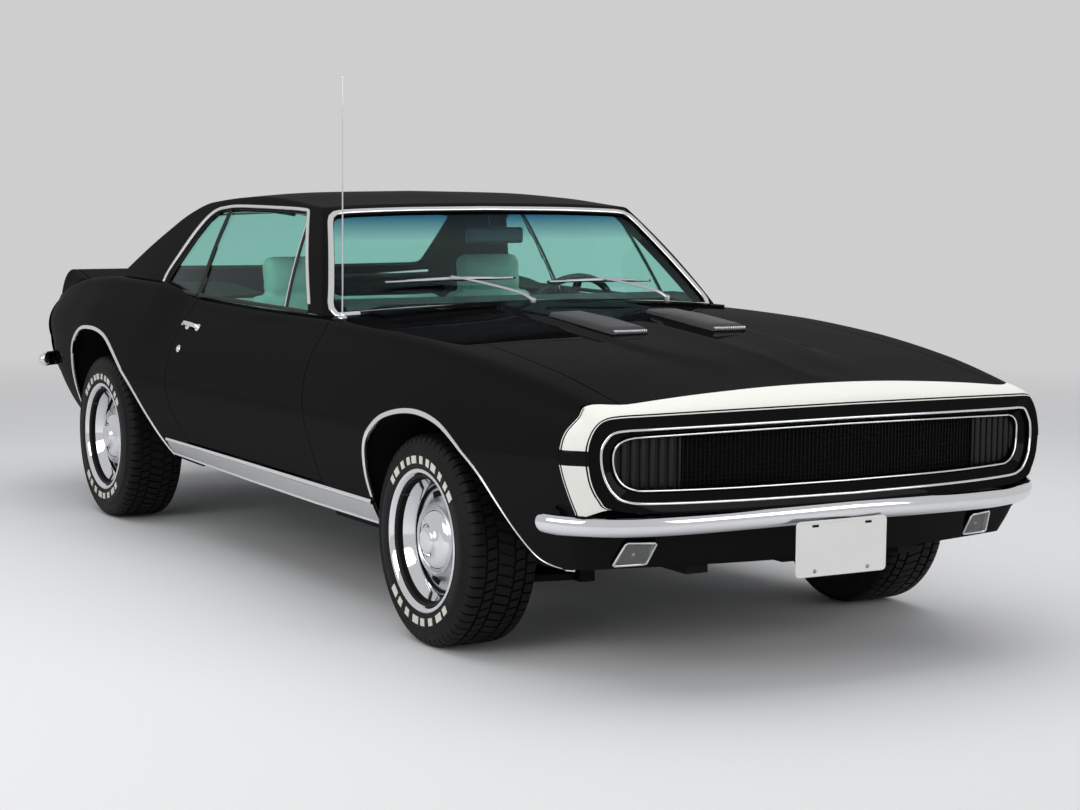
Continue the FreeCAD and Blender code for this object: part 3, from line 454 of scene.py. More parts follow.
def vertex_normals(points, faces):
    """The outward direction at each point, averaged over its faces by their area."""
    p = np.asarray(points, float)
    n = np.zeros_like(p)
    for f in faces:
        c = p[list(f)]
        area = np.zeros(3)
        for i in range(1, len(f) - 1):
            area += np.cross(c[i] - c[0], c[i + 1] - c[0])
        n[list(f)] += area
    length = np.linalg.norm(n, axis=1)
    length[length == 0] = 1
    return n / length[:, None]


def walled(points, faces, thickness):
    """A sheet given a wall behind it, closed round its edge. Faces point outwards on the given side."""
    p = np.asarray(points, float)
    n = vertex_normals(p, faces)
    back = p - n * thickness
    count = len(p)
    edges = {}
    for f in faces:
        for i in range(len(f)):
            a, b = f[i], f[(i + 1) % len(f)]
            key = (min(a, b), max(a, b))
            edges[key] = None if key in edges else (a, b)
    rim = [(b, a, a + count, b + count) for a, b in (e for e in edges.values() if e)]
    return np.vstack([p, back]), list(faces) + [tuple(i + count for i in reversed(f)) for f in faces] + rim


def merged(points, faces, tolerance=0.01):
    """Points closer than the tolerance made one, and faces that collapse dropped."""
    p = np.asarray(points, float)
    keys = {}
    index = []
    kept = []
    for q in p:
        key = tuple(np.round(q / tolerance / 5).astype(int))
        if key not in keys:
            keys[key] = len(kept)
            kept.append(q)
        index.append(keys[key])
    out = []
    for f in faces:
        g = []
        for i in f:
            k = index[i]
            if not g or g[-1] != k:
                g.append(k)
        if len(g) > 1 and g[0] == g[-1]:
            g.pop()
        if len(g) > 2:
            out.append(tuple(g))
    return np.array(kept), out


def clipped(points, faces, *keeps):
    """Faces cut along the zero line of each keep function, which is positive on the side that stays."""
    p = [np.asarray(q, float) for q in points]
    polygons = [tuple(f) for f in faces]
    for keep in keeps:
        value = keep(*np.array(p).T)
        value = [float(q) for q in value]
        cut = {}
        out = []
        for f in polygons:
            side = [value[i] > 0 for i in f]
            if all(side):
                out.append(f)
                continue
            if not any(side):
                continue
            g = []
            for i in range(len(f)):
                a, b = f[i], f[(i + 1) % len(f)]
                if value[a] > 0:
                    g.append(a)
                if (value[a] > 0) != (value[b] > 0):
                    key = (min(a, b), max(a, b))
                    if key not in cut:
                        t = value[a] / (value[a] - value[b])
                        cut[key] = len(p)
                        p.append(p[a] + (p[b] - p[a]) * t)
                        value.append(0.0)
                    g.append(cut[key])
            if len(g) > 2:
                out.append(tuple(g))
        polygons = out
    used = sorted({i for f in polygons for i in f})
    back = {old: new for new, old in enumerate(used)}
    return np.array([p[i] for i in used]), [tuple(back[i] for i in f) for f in polygons]


def tube(path, radius, sides=12, closed=False, squash=(1.0, 1.0), up=(0, 0, 1)):
    """A tube along a path; squash scales its section across and along the up direction."""
    p = np.asarray(path, float)
    ahead = unit(np.roll(p, -1, 0) - np.roll(p, 1, 0) if closed else np.gradient(p, axis=0))
    a = np.arange(sides) / sides * 2 * math.pi
    rings = []
    for q, way, r in zip(p, ahead, np.broadcast_to(radius, len(p))):
        side = unit(np.cross(way, up))
        high = np.cross(side, way)
        rings.append(q + r * (np.cos(a)[:, None] * side * squash[0] + np.sin(a)[:, None] * high * squash[1]))
    faces = grid_faces(len(p), sides, close_rows=closed, close_columns=True)
    if not closed:
        faces += [tuple(range(sides)), tuple(reversed(range((len(p) - 1) * sides, len(p) * sides)))]
    return np.vstack(rings), [tuple(reversed(f)) for f in faces]


def half_round(width, height, steps=6):
    """Section of a rounded moulding: flat at its back."""
    a = np.linspace(0, math.pi, steps + 1)
    return [(height * math.sin(t), width / 2 * math.cos(t)) for t in a]


def outward(part):
    """Faces turned so that a closed part's volume is positive."""
    p, faces = part
    p = np.asarray(p, float)
    centre = p.mean(0)
    volume = 0.0
    for f in faces:
        c = p[list(f)] - centre
        for i in range(1, len(f) - 1):
            volume += np.dot(c[0], np.cross(c[i], c[i + 1]))
    return (p, faces) if volume > 0 else (p, [tuple(reversed(f)) for f in faces])


def sheet(rows, wall, flip=False):
    """Rows of points as a closed sheet with a wall."""
    return outward(walled(np.array(rows).reshape(-1, 3), grid_faces(len(rows), len(rows[0]), flip=flip), wall))


def lofted(rows):
    """Matching closed sections as one solid with flat ends."""
    count, n = len(rows), len(rows[0])
    ends = [tuple(range(n)), tuple(reversed(range((count - 1) * n, count * n)))]
    return outward((np.array(rows, float).reshape(-1, 3), grid_faces(count, n, close_columns=True) + ends))


def rod(start, end, radius, sides=12, up=(0, 1, 0)):
    """A straight round bar."""
    return outward(tube(np.array([start, end]), radius, sides, up=up))


def rounded_box(x0, x1, s0, s1, z0, z1, radius, steps=3):
    """A box with rounded edges and corners."""
    low, high = np.array([x0, s0, z0], float), np.array([x1, s1, z1], float)
    half, centre = (high - low) / 2, (high + low) / 2
    radius = min(radius, *half)
    count = 2 * (steps + 1)
    ticks = np.concatenate([np.linspace(-1, 0, steps + 1), np.linspace(0, 1, steps + 1)])
    flat = np.concatenate([-np.ones(steps + 1), np.ones(steps + 1)])
    points, index, faces = [], {}, []
    for axis in range(3):
        u, w = (axis + 1) % 3, (axis + 2) % 3
        for sign in (-1, 1):
            ids = np.zeros((count, count), int)
            for i in range(count):
                for j in range(count):
                    d, base = np.zeros(3), np.zeros(3)
                    d[axis] = base[axis] = sign
                    d[u], d[w] = math.tan(ticks[i] * math.pi / 4), math.tan(ticks[j] * math.pi / 4)
                    base[u], base[w] = flat[i], flat[j]
                    q = centre + base * (half - radius) + unit(d) * radius
                    key = tuple(np.round(q, 3))
                    if key not in index:
                        index[key] = len(points)
                        points.append(q)
                    ids[i, j] = index[key]
            for i in range(count - 1):
                for j in range(count - 1):
                    f = (ids[i, j], ids[i + 1, j], ids[i + 1, j + 1], ids[i, j + 1])
                    f = f if sign > 0 else tuple(reversed(f))
                    if len(set(f)) > 2:
                        faces.append(tuple(dict.fromkeys(f)))
    return np.array(points), faces


def turned(profile, station, height, segments=96):
    """(half-width, radius) points turned about an axle across the car."""
    a = np.arange(segments) / segments * 2 * math.pi
    rows = [np.stack([np.full(segments, float(x)), station + r * np.cos(a), height + r * np.sin(a)], 1)
            for x, r in profile]
    return merged(np.vstack(rows), grid_faces(len(profile), segments, close_columns=True), 0.001)


# ---------------------------------------------------------------- lower body surface
# Columns: station, centre-line height, crown half-width, crown height, widest half-width, height of the widest
# line, sill half-width, sill height. The same rows as the solids, so that the paint lies on them.
BODY_ROWS = np.array((
    (-800, 797, 706, 749, 786, 617, 692, 326),
    (-740, 804, 722, 760, 812, 617, 704, 322),
    (-400, 847, 760, 820, 862, 604, 772, 306),
    (0, 884, 785, 864, 896, 594, 790, 290),
    (400, 917, 792, 887, 895, 594, 790, 284),
    (800, 932, 785, 894, 889, 592, 790, 286),
    (1300, 922, 780, 892, 885, 592, 790, 294),
    (1940, 922, 780, 899, 891, 592, 792, 304),
    (2300, 928, 794, 938, 903, 602, 796, 314),
    (2746, 922, 800, 937, 908, 612, 800, 327),
    (3090, 914, 786, 917, 862, 622, 785, 352),
    (3420, 894, 752, 878, 812, 640, 742, 402),
    (3690, 868, 702, 832, 745, 645, 680, 447),
), float)
CROWN_ROUND = 34.0
UPPER_BULGE = 26.0
LOWER_BULGE = 15.0
STATION_STEP = 12.0
GIRTH_COUNTS = (44, 9, 18, 14)     # points on the top, the shoulder, the upper side and the lower side


def section_points(row):
    """Half of a body section, from the centre line over the shoulder to the sill, as (half-width, height).

    row holds a row of BODY_ROWS without its station.
    """
    top, crown_x, crown_z, wide_x, wide_z, sill_x, sill_z = row
    r = CROWN_ROUND
    inner = np.array([crown_x - r, crown_z + 0.12 * r])
    middle = np.array([crown_x - 0.18 * r, crown_z - 0.22 * r])
    outer = np.array([crown_x + 0.20 * r, crown_z - r])
    wide = np.array([wide_x, wide_z])
    sill = np.array([sill_x, sill_z])
    u = np.linspace(0, 1, GIRTH_COUNTS[0], endpoint=False)
    top_arc = np.stack([inner[0] * u, top + (inner[1] - top) * u**2], 1)
    t = np.linspace(0, 1, GIRTH_COUNTS[1], endpoint=False)[:, None]
    pull = 2 * middle - 0.5 * (inner + outer)
    shoulder = (1 - t)**2 * inner + 2 * t * (1 - t) * pull + t**2 * outer

    def bow(a, b, sagitta, count, endpoint):
        w = np.linspace(0, 1, count, endpoint=endpoint)[:, None]
        along = b - a
        out = unit(np.array([-along[1], along[0]]))
        out = out if out[0] > 0 else -out
        return a + along * w + out * sagitta * 4 * w * (1 - w)

    upper = bow(outer, wide, UPPER_BULGE, GIRTH_COUNTS[2], False)
    lower = bow(wide, sill, LOWER_BULGE, GIRTH_COUNTS[3], True)
    return np.vstack([top_arc, shoulder, upper, lower])


def body_grid(first, last, step=STATION_STEP):
    """Grid of (half-width, station, height) over the left half of the lower body."""
    count = max(2, int(round((last - first) / step)) + 1)
    stations = np.linspace(first, last, count)
    columns = [smooth_table(BODY_ROWS[:, 0], BODY_ROWS[:, k], stations) for k in range(1, 8)]
    rows = []
    for i, s in enumerate(stations):
        half = section_points([c[i] for c in columns])
        soft = half.copy()
        for _ in range(3):
            soft[1:-1] = 0.25 * soft[:-2] + 0.5 * soft[1:-1] + 0.25 * soft[2:]
            soft[0, 1] = soft[1, 1]
        rows.append(np.stack([soft[:, 0], np.full(len(soft), s), soft[:, 1]], 1))
    return np.vstack(rows), grid_faces(len(stations), rows[0].shape[0])


# Shut lines, bottom to top: station, height. The functions below give distances for clipped, positive on the side
# that stays.
DOOR_FRONT = ((700, 300), (701, 388), (706, 450), (730, 570), (757, 673), (776, 800), (787, 960))
DOOR_REAR = ((1830, 300), (1876, 388), (1913, 450), (1944, 570), (1946, 690), (1942, 800), (1937, 960))
DOOR_BOTTOM = 388.0
HOOD_EDGE = 652.0
HOOD_REAR = 648.0
DECK_FRONT = 3010.0
DECK_REAR = 3662.0
DECK_EDGE = 612.0
DOOR_INNER_X, HIP_INNER_X = 742.0, 500.0    # half-widths where the door skins and the hips end at the top
HINGE_X = 892.0
DOOR_DRAFT = 0.10                           # rearward lean of the door's rear edge, per mm of half-width


def line_station(line, z):
    """Station of a shut line at a height."""
    table = np.array(line, float)
    return smooth_table(table[:, 1], table[:, 0], z)


def behind_door_front(offset):
    return lambda x, s, z: s - line_station(DOOR_FRONT, z) - offset


def ahead_of_door_front(offset):
    return lambda x, s, z: line_station(DOOR_FRONT, z) - offset - s


def ahead_of_door_rear(offset):
    return lambda x, s, z: line_station(DOOR_REAR, z) - DOOR_DRAFT * (HINGE_X - np.abs(x)) - offset - s


def behind_door_rear(offset):
    return lambda x, s, z: s - line_station(DOOR_REAR, z) + DOOR_DRAFT * (HINGE_X - np.abs(x)) - offset


FRONT_ARCH = ((332, 250), (332, 400), (321, 470), (296, 545), (232, 614), (132, 658), (40, 675), (-57, 677),
              (-165, 658), (-265, 612), (-353, 550), (-425, 470), (-482, 390), (-530, 318), (-560, 260))
REAR_ARCH = ((3088, 250), (3088, 440), (3080, 530), (3056, 610), (3000, 680), (2900, 724), (2760, 737),
             (2640, 728), (2545, 700), (2420, 632), (2300, 545), (2215, 452), (2165, 385), (2105, 312), (2060, 250))
ARCH_CENTRES = {"front": (-100.0, 300.0), "rear": (2640.0, 300.0)}


def arch_curve(which, count=240):
    """The edge of a wheel opening as (station, height)."""
    return spline(FRONT_ARCH if which == "front" else REAR_ARCH, count)


def outside_arch(which):
    """Positive outside a wheel arch."""
    curve = arch_curve(which)
    cx, cz = ARCH_CENTRES[which]
    angle = np.arctan2(curve[:, 0] - cx, curve[:, 1] - cz)
    radius = np.hypot(curve[:, 0] - cx, curve[:, 1] - cz)
    order = np.argsort(angle)
    angle, radius = angle[order], radius[order]

    def value(x, s, z):
        edge = np.interp(np.arctan2(s - cx, z - cz), angle, radius)
        return np.hypot(s - cx, z - cz) - edge

    return value


def body_section(station):
    """The section's points at a station."""
    return section_points(table_row(BODY_ROWS, station))


def surface_point(station, z):
    """Half-width of the body's side at a station and height."""
    half = body_section(station)[GIRTH_COUNTS[0] + GIRTH_COUNTS[1]:]
    return float(np.interp(-z, -half[:, 1], half[:, 0]))


def top_z(x, s):
    """Height of the body's top surface."""
    half = body_section(s)[:GIRTH_COUNTS[0] + GIRTH_COUNTS[1]]
    return float(np.interp(abs(x), half[:, 0], half[:, 1]))


def on_side(curve):
    """(station, height) points put on the body's side, with their outward directions."""
    points, normals = [], []
    for s, z in curve:
        points.append((surface_point(s, z), s, z))
        dz = (surface_point(s, z + 4) - surface_point(s, z - 4)) / 8
        ds = (surface_point(s + 6, z) - surface_point(s - 6, z)) / 12
        normals.append(unit(np.array([1.0, -ds, -dz])))
    return np.array(points), np.array(normals)


def off_side(s, z, lift):
    """A point lifted off the body's side."""
    (point,), (normal,) = on_side([(s, z)])
    return point + normal * lift


def x_above(value):
    return lambda x, s, z: x - value


def x_below(value):
    return lambda x, s, z: value - x


def s_above(value):
    return lambda x, s, z: s - value


def s_below(value):
    return lambda x, s, z: value - s


def z_above(value):
    return lambda x, s, z: z - value


PANEL_WALL = 9.0
WING_WALL = 3.0             # thin enough for the steered wheels to pass
LID_WALL = 16.0
ROOF_WALL = 14.0


def panel(name, part, body, *nodes, wall=PANEL_WALL, smooth=32.0):
    """A painted panel with a wall, in the body's paint."""
    fitted(name, walled(*part, wall), "black", *nodes, smooth=smooth, body=body)


def hood_lift(x, s):
    """Height of the raised middle of the hood, whose creases fade forwards, and of its centre ridge."""
    half = 302 + (262 - 302) * (s + 552) / 875
    soft = 16 + 150 * smoothstep(-150, -640, s)
    panel_rise = 9.0 * smoothstep(half + 10, half + 10 - soft, np.abs(x)) * smoothstep(-778, -420, s)
    ridge = 6.0 * np.clip(1 - np.abs(x) / 130, 0, 1) ** 2 * smoothstep(320, -100, s) * smoothstep(-784, -700, s)
    return panel_rise + ridge


# ---------------------------------------------------------------- user settings
class HardtopLook(bpy.types.PropertyGroup):
    """Colours of the car."""

    paint_colour: FloatVectorProperty(name="Paint", description="Colour of the body", subtype="COLOR",
                                      default=(0.0030, 0.0030, 0.0034), min=0.0, max=1.0)
    band_colour: FloatVectorProperty(name="Band", description="Colour of the nose band", subtype="COLOR",
                                     default=(0.80, 0.79, 0.74), min=0.0, max=1.0)


class HardtopStudio(bpy.types.PropertyGroup):
    """Colours and reach of the studio."""

    floor_colour: FloatVectorProperty(name="Floor", description="Colour of the studio floor", subtype="COLOR",
                                      default=(0.72, 0.72, 0.722), min=0.0, max=1.0)
    backdrop_colour: FloatVectorProperty(name="Backdrop", description="Colour of the studio's far parts",
                                         subtype="COLOR", default=(0.62, 0.62, 0.625), min=0.0, max=1.0)
    shadow_reach: FloatProperty(name="Shadow reach", description="Distance at which the floor turns into backdrop",
                                default=3.6, min=0.0, unit="LENGTH")


def operator(identifier, label, words):
    """Turns a function into an operator class that runs it."""

    def wrap(function):
        def execute(self, context):
            function(context)
            return {"FINISHED"}

        name = "HARDTOP_OT_" + identifier
        made = type(name, (bpy.types.Operator,), {"bl_idname": "hardtop." + identifier, "bl_label": label,
                                                  "bl_description": words, "__doc__": words, "execute": execute})
        OPERATORS.append(made)
        return function

    return wrap


OPERATORS = []


@operator("body_panels", "Body panels", "Makes the painted panels of the lower body")
def body_panels(context):
    half = body_grid(-800, 3690)
    for side, sign in SIDES:
        wing = clipped(*half, x_above(HOOD_EDGE + PANEL_GAP), behind_nose_line(PANEL_GAP),
                       ahead_of_door_front(PANEL_GAP), outside_arch("front"))
        panel("wing_" + side, sided(wing, sign), ROOT, "fender_" + side, wall=WING_WALL)
        door = clipped(*half, behind_door_front(PANEL_GAP), ahead_of_door_rear(PANEL_GAP),
                       z_above(DOOR_BOTTOM + PANEL_GAP), x_above(DOOR_INNER_X))
        panel("door_skin_" + side, sided(door, sign), side + "_door", "door_" + side)
        hip = clipped(*half, behind_door_rear(PANEL_GAP), outside_arch("rear"),
                      lambda x, s, z: np.where(s > DECK_FRONT - 2, x - DECK_EDGE - PANEL_GAP, x - HIP_INNER_X))
        panel("hip_" + side, sided(hip, sign), ROOT, "quarter_" + side)
    hood = clipped(*half, x_below(HOOD_EDGE - PANEL_GAP), behind_nose_line(PANEL_GAP),
                   s_below(HOOD_REAR - PANEL_GAP))
    points, faces = merged(*both(hood))
    points[:, 2] += hood_lift(points[:, 0], points[:, 1])
    panel("hood_skin", (points, faces), "bonnet", "hood", wall=LID_WALL)
    lid = clipped(*half, x_below(DECK_EDGE - PANEL_GAP), s_above(DECK_FRONT + PANEL_GAP), s_below(DECK_REAR))
    panel("lid_skin", merged(*both(lid)), "boot_lid", "trunk_lid", wall=LID_WALL)


# ---------------------------------------------------------------- nose
# Stations of the line where the nose meets hood and wings: along the top against half-width, down the side
# against height.
NOSE_LINE_TOP = ((0, -782), (330, -778), (655, -764), (700, -722), (733, -681), (760, -679))
NOSE_LINE_SIDE = ((322, -660), (330, -662), (400, -685), (440, -716), (481, -743), (520, -735), (574, -725),
                  (628, -719), (660, -717), (711, -708), (757, -686), (772, -680))
# Rings of the nose, from the top centre line round the side to the bottom centre line: half-width, station, height
BAND_RING = ((0, -912, 752), (350, -890, 748), (600, -845, 741), (690, -812, 736), (724, -797, 729), (745, -789, 711),
             (761, -786, 680), (768, -786, 645), (766, -788, 605), (757, -792, 562), (738, -798, 525),
             (708, -808, 498), (600, -845, 486), (350, -890, 482), (0, -912, 480))
FRAME_RING = ((0, -904, 716), (350, -882, 712), (600, -837, 706), (668, -814, 703), (700, -799, 696), (718, -792, 678),
              (730, -790, 655), (732, -791, 625), (728, -794, 595), (719, -799, 567), (702, -805, 540),
              (672, -815, 519), (600, -837, 511), (350, -882, 510), (0, -904, 510))
INNER_RING = ((0, -880, 697), (350, -858, 692), (600, -813, 684), (640, -800, 681), (664, -791, 674), (680, -785, 661),
              (688, -781, 643), (689, -780, 620), (686, -782, 598), (678, -786, 576), (662, -792, 557),
              (636, -801, 545), (590, -813, 541), (350, -855, 540), (0, -878, 541))
MESH_DEPTH = 16.0
RING_STEPS = 7
CORNER_PASSES = 14          # smoothing of the band's line round its upper corner
VALANCE_TOP_FRONT = ((322, -790), (330, -794), (400, -828), (440, -858), (468, -876), (481, -896))


def nose_line(x, z):
    """Station of the line where the nose meets hood and wings."""
    top = np.interp(np.abs(x), *zip(*NOSE_LINE_TOP))
    side = np.interp(z, *zip(*NOSE_LINE_SIDE))
    return np.where((np.abs(x) < 734) & (z > 735), top, side)


def behind_nose_line(offset):
    return lambda x, s, z: s - nose_line(x, z) - offset


def body_point(station, girth):
    """Point of the body's section at a station and a (fractional) place round its girth."""
    half = body_section(station)
    i = min(int(girth), len(half) - 2)
    x, z = half[i] + (half[i + 1] - half[i]) * (girth - i)
    return np.array([x, station, z])


def nose_edge_point(girth):
    """Where the nose's line crosses a place round the body's girth, found by repeated steps."""
    station = -720.0
    for _ in range(12):
        p = body_point(station, girth)
        station = 0.5 * station + 0.5 * float(nose_line(p[0], p[2]))
    return body_point(station, girth)


def ring_curve(ring):
    """The ring with RING_STEPS points to each of its spans, so that rings match point for point."""
    return catmull(ring, RING_STEPS)


def closed_ring(ring):
    """A half ring and its mirror image as one closed curve."""
    half = ring_curve(ring)
    return np.vstack([half, (half[1:-1] * (-1, 1, 1))[::-1]])


def band_outer_line():
    """The band's line against hood and wings, matched to the ring's named points by their place round the girth."""
    top, crown, upper, lower = GIRTH_COUNTS
    side_start = top + crown
    along_top = [body_point(-740, g)[0] for g in range(side_start)]
    down_side = [-body_point(-725, g)[2] for g in range(side_start, side_start + upper + lower)]
    spots = [np.interp(w, along_top, range(side_start)) for w in (0, 350, 600, 655, 700)]
    spots.append(top + crown * 0.85)
    spots += [side_start + np.interp(-z, down_side, range(upper + lower)) for z in (722, 680, 630, 580, 525, 470)]
    girths = [a + (b - a) * k / RING_STEPS for a, b in zip(spots, spots[1:]) for k in range(RING_STEPS)]
    line = np.array([nose_edge_point(g) for g in girths + [spots[-1]]])
    a, b = 3 * RING_STEPS - 4, 6 * RING_STEPS + 4
    for _ in range(CORNER_PASSES):
        line[a:b] = 0.25 * line[a - 1:b - 1] + 0.5 * line[a:b] + 0.25 * line[a + 1:b + 1]
    return line


def header_band():
    """The light band, which swells forwards from the hood and the wings to its inner ring."""
    outer = band_outer_line()
    count = len(outer)
    edges = (0.0, 4.0, 10.0)
    rows = []
    for j, (a, b) in enumerate(zip(outer, ring_curve(BAND_RING))):
        length = np.linalg.norm(b - a)
        ahead = np.array([0.0, -1.0, -0.10 if j < 3 * RING_STEPS else 0.0])
        turn = smoothstep(2.6 * RING_STEPS, 5.5 * RING_STEPS, j)
        inward = (1 - turn) * np.array([0.0, -0.30, -0.95]) + turn * np.array([-0.72, -0.69, 0.0])
        shares = [e / length for e in edges] + list(np.linspace(12 / length, 1 - 12 / length, 12))
        shares += [1 - e / length for e in reversed(edges)]
        rows.append([(2 * t**3 - 3 * t**2 + 1) * a + (t**3 - 2 * t**2 + t) * ahead * length * 0.9
                     + (-2 * t**3 + 3 * t**2) * b + (t**3 - t**2) * inward * length * 0.75 for t in shares])
    columns = len(rows[0])
    left = walled(np.array(rows).reshape(-1, 3), grid_faces(count, columns), 6.0)
    for side, sign in SIDES:
        piece = fitted("band_" + side, outward(sided(left, sign)), ("cream", "hairline"), "nose_panel")
        for poly in piece.data.polygons:
            i, k = divmod(min(poly.vertices) % (count * columns), columns)
            lines = (1, columns - 3) if i >= 5 * RING_STEPS - 2 else (columns - 3,)
            poly.material_index = 1 if k in lines else 0


def valance():
    """The apron below the bumper, from the centre line round to the wings."""
    count = 40
    rows = []
    for z in (481, 472, 462, 440, 418, 395, 372, 350, 334, 324, 322):
        front = float(np.interp(z, *zip(*VALANCE_TOP_FRONT)))
        s_side = float(np.interp(z, *zip(*NOSE_LINE_SIDE)))
        x_side = surface_point(s_side, z)
        near = x_side - 38
        plan = [(x, front + 0.06 * x + 0.00014 * x * x) for x in (0, 200, 400, 560, 650, near)]
        plan[-1] = (near, min(plan[-1][1] + 4, s_side - 26))
        plan += [(x_side - 8, s_side - 14 if z > 380 else s_side - 16), (x_side, s_side)]
        curve = spline(plan, count)
        rows.append(np.stack([curve[:, 0], curve[:, 1], np.full(count, float(z))], 1))
    skin = both((np.vstack(rows), grid_faces(len(rows), count)))
    fitted("valance", outward(walled(*merged(*skin), 5.0)), "black", "nose_panel")


def surround():
    """The black surround of the grille's opening, with a bright bead at each of its edges."""
    band, frame_ring, inner_ring = (closed_ring(ring) for ring in (BAND_RING, FRAME_RING, INNER_RING))

    def moved(ring, back):
        return ring + np.array([0, back, 0])

    rings = [band, moved(0.5 * (band + frame_ring), -3), frame_ring, moved(frame_ring, 10), moved(inner_ring, 4),
             inner_ring, moved(inner_ring, MESH_DEPTH + 22)]
    part = merged(np.vstack(rings), grid_faces(len(rings), len(band), close_columns=True))
    fitted("surround", part, "hairline", "grille", smooth=35)
    for name, ring, radius in (("frame_bead_outer", frame_ring, 4.2), ("frame_bead_inner", inner_ring, 3.4)):
        fitted(name, tube(moved(ring, -1.5), radius, 10, closed=True, up=(0, 1, 0)), "chrome", "grille", smooth=60)


@operator("nose", "Nose", "Makes the header band, the valance, the grille surround and the closed lamp covers")
def nose(context):
    header_band()
    valance()
    surround()
    grille_mesh()


def grille_mesh():
    """Egg-crate bars between the lamp covers, and the covers' upright ribs, all inside the inner ring."""
    ring = ring_curve(INNER_RING)
    split, pitch, middle_z = 500, 12.5, 615

    def edge(part):
        order = np.argsort(part[:, 0])
        return lambda x: np.interp(np.abs(x), part[order, 0], part[order, 2])

    high, low = edge(ring[ring[:, 2] > middle_z]), edge(ring[ring[:, 2] <= middle_z])

    def front(x):
        return -880 + MESH_DEPTH + 0.06 * np.abs(x) + 0.00012 * np.abs(x) ** 2

    def upright(x, half_width, ahead, behind, inset, radius, steps):
        place_x = abs(x)
        return rounded_box(x - half_width, x + half_width, front(place_x) - ahead, front(place_x) + behind,
                           low(place_x) + inset, high(place_x) - inset, radius, steps)

    bars = [upright(x, 0.9, 1, 5, 0, 0.8, 1) for x in np.arange(-split + pitch, split, pitch)]
    xs = np.linspace(-split, split, 41)
    for z in np.arange(549, 694, pitch):
        bars.append(tube(np.stack([xs, front(xs), np.full(41, z)], 1), 1.2, 6, squash=(2.4, 1.0)))
    for side in (-1, 1):
        bars += [upright(side * x, 9, 6, 10, 2, 5, 2) for x in np.arange(split + 22, 684, 26.0)]
        bars.append(upright(side * split, 4, 7, 12, 0, 2, 1))
    fitted("crate_bars", joined(*bars), "grille", "grille")
    # A black sheet just behind the bars: painted shade standing in for the dark space behind the grille.
    rows = [[(x, front(x) + 12, 512), (x, front(x) + 12, 710)] for x in np.linspace(-690, 690, 61)]
    fitted("grille_shade_sheet", sheet(rows, 3.0), "liner", "grille")
    covers = []
    for side in (-1, 1):
        rows = [[(side * x, front(x) + 3, low(x) + 0.5), (side * x, front(x) + 3, high(x) - 0.5)]
                for x in np.linspace(split + 4, 686, 14)]
        covers.append(sheet(rows, 3.0, flip=side < 0))
    fitted("lamp_covers", joined(*covers), "cover", "grille")


# ---------------------------------------------------------------- bumpers, plate and lamps
BUMPER_PATH = ((0, -918, 462), (250, -902, 457), (512, -862, 450), (650, -822, 448), (735, -780, 448), (795, -728, 449),
               (830, -676, 451), (838, -640, 452))
# Section of a bumper bar, from its back ledge over the crown and under the lower lip: outwards, upwards
BUMPER_SECTION = ((-34, 20), (-14, 26), (-2, 26), (5, 20), (8, 10), (8, -2), (5, -12), (0, -19), (-7, -25), (-14, -26),
                  (-17, -22), (-9, -15), (-4, -6), (-2, 4), (-4, 14), (-14, 20), (-34, 15))
REAR_BUMPER_PATH = ((0, 3748, 551), (300, 3738, 551), (560, 3714, 551), (700, 3690, 551), (770, 3660, 551),
                    (806, 3622, 551), (816, 3580, 551))


def swept_bar(path, section, ahead):
    """A bumper bar on both sides of the centre line; ahead is -1 for the front one."""
    half = spline(path, 56)
    shares = (0.0, 0.3, 0.55, 0.75, 0.9, 1.0)
    last = [half[-2] + (half[-1] - half[-2]) * f for f in shares]
    half = np.vstack([half[:-2], last])
    full = np.vstack([(half[1:] * (-1, 1, 1))[::-1], half])
    tangent = np.gradient(full, axis=0)
    out = unit(np.stack([-tangent[:, 1] * ahead, tangent[:, 0] * ahead, np.zeros(len(full))], 1))
    s = np.asarray(section, float)
    reach = np.abs(full[:, 0]) / np.abs(full[:, 0]).max()
    taper = np.ones(len(full))
    taper[-6:] = [math.sqrt(1 - 0.96 * f * f) for f in shares]
    taper[:6] = taper[:-7:-1]
    depth = 1 - 0.45 * smoothstep(0.75, 0.98, reach)
    rows = []
    for i in range(len(full)):
        back = np.where(s[:, 0] < -16, s[:, 0] * depth[i], s[:, 0])
        rows.append(full[i] + out[i] * back[:, None] * taper[i] + np.array([0, 0, 1.0]) * s[:, 1:] * taper[i])
    return lofted(rows)


def dome(centre, radius, height, direction, rings=4, segments=16):
    """A small round head on a surface."""
    d = unit(np.asarray(direction, float))
    side = unit(np.cross(d, (0.3, 0.2, 1.0)))
    up = np.cross(d, side)
    points = []
    for i in range(rings + 1):
        a = math.pi / 2 * i / rings
        for k in range(segments):
            b = 2 * math.pi * k / segments
            points.append(np.asarray(centre) + d * height * math.sin(a)
                          + (side * math.cos(b) + up * math.sin(b)) * radius * math.cos(a))
    faces = grid_faces(rings + 1, segments, close_columns=True) + [tuple(range(segments))]
    return outward(merged(np.array(points), faces, 0.002))


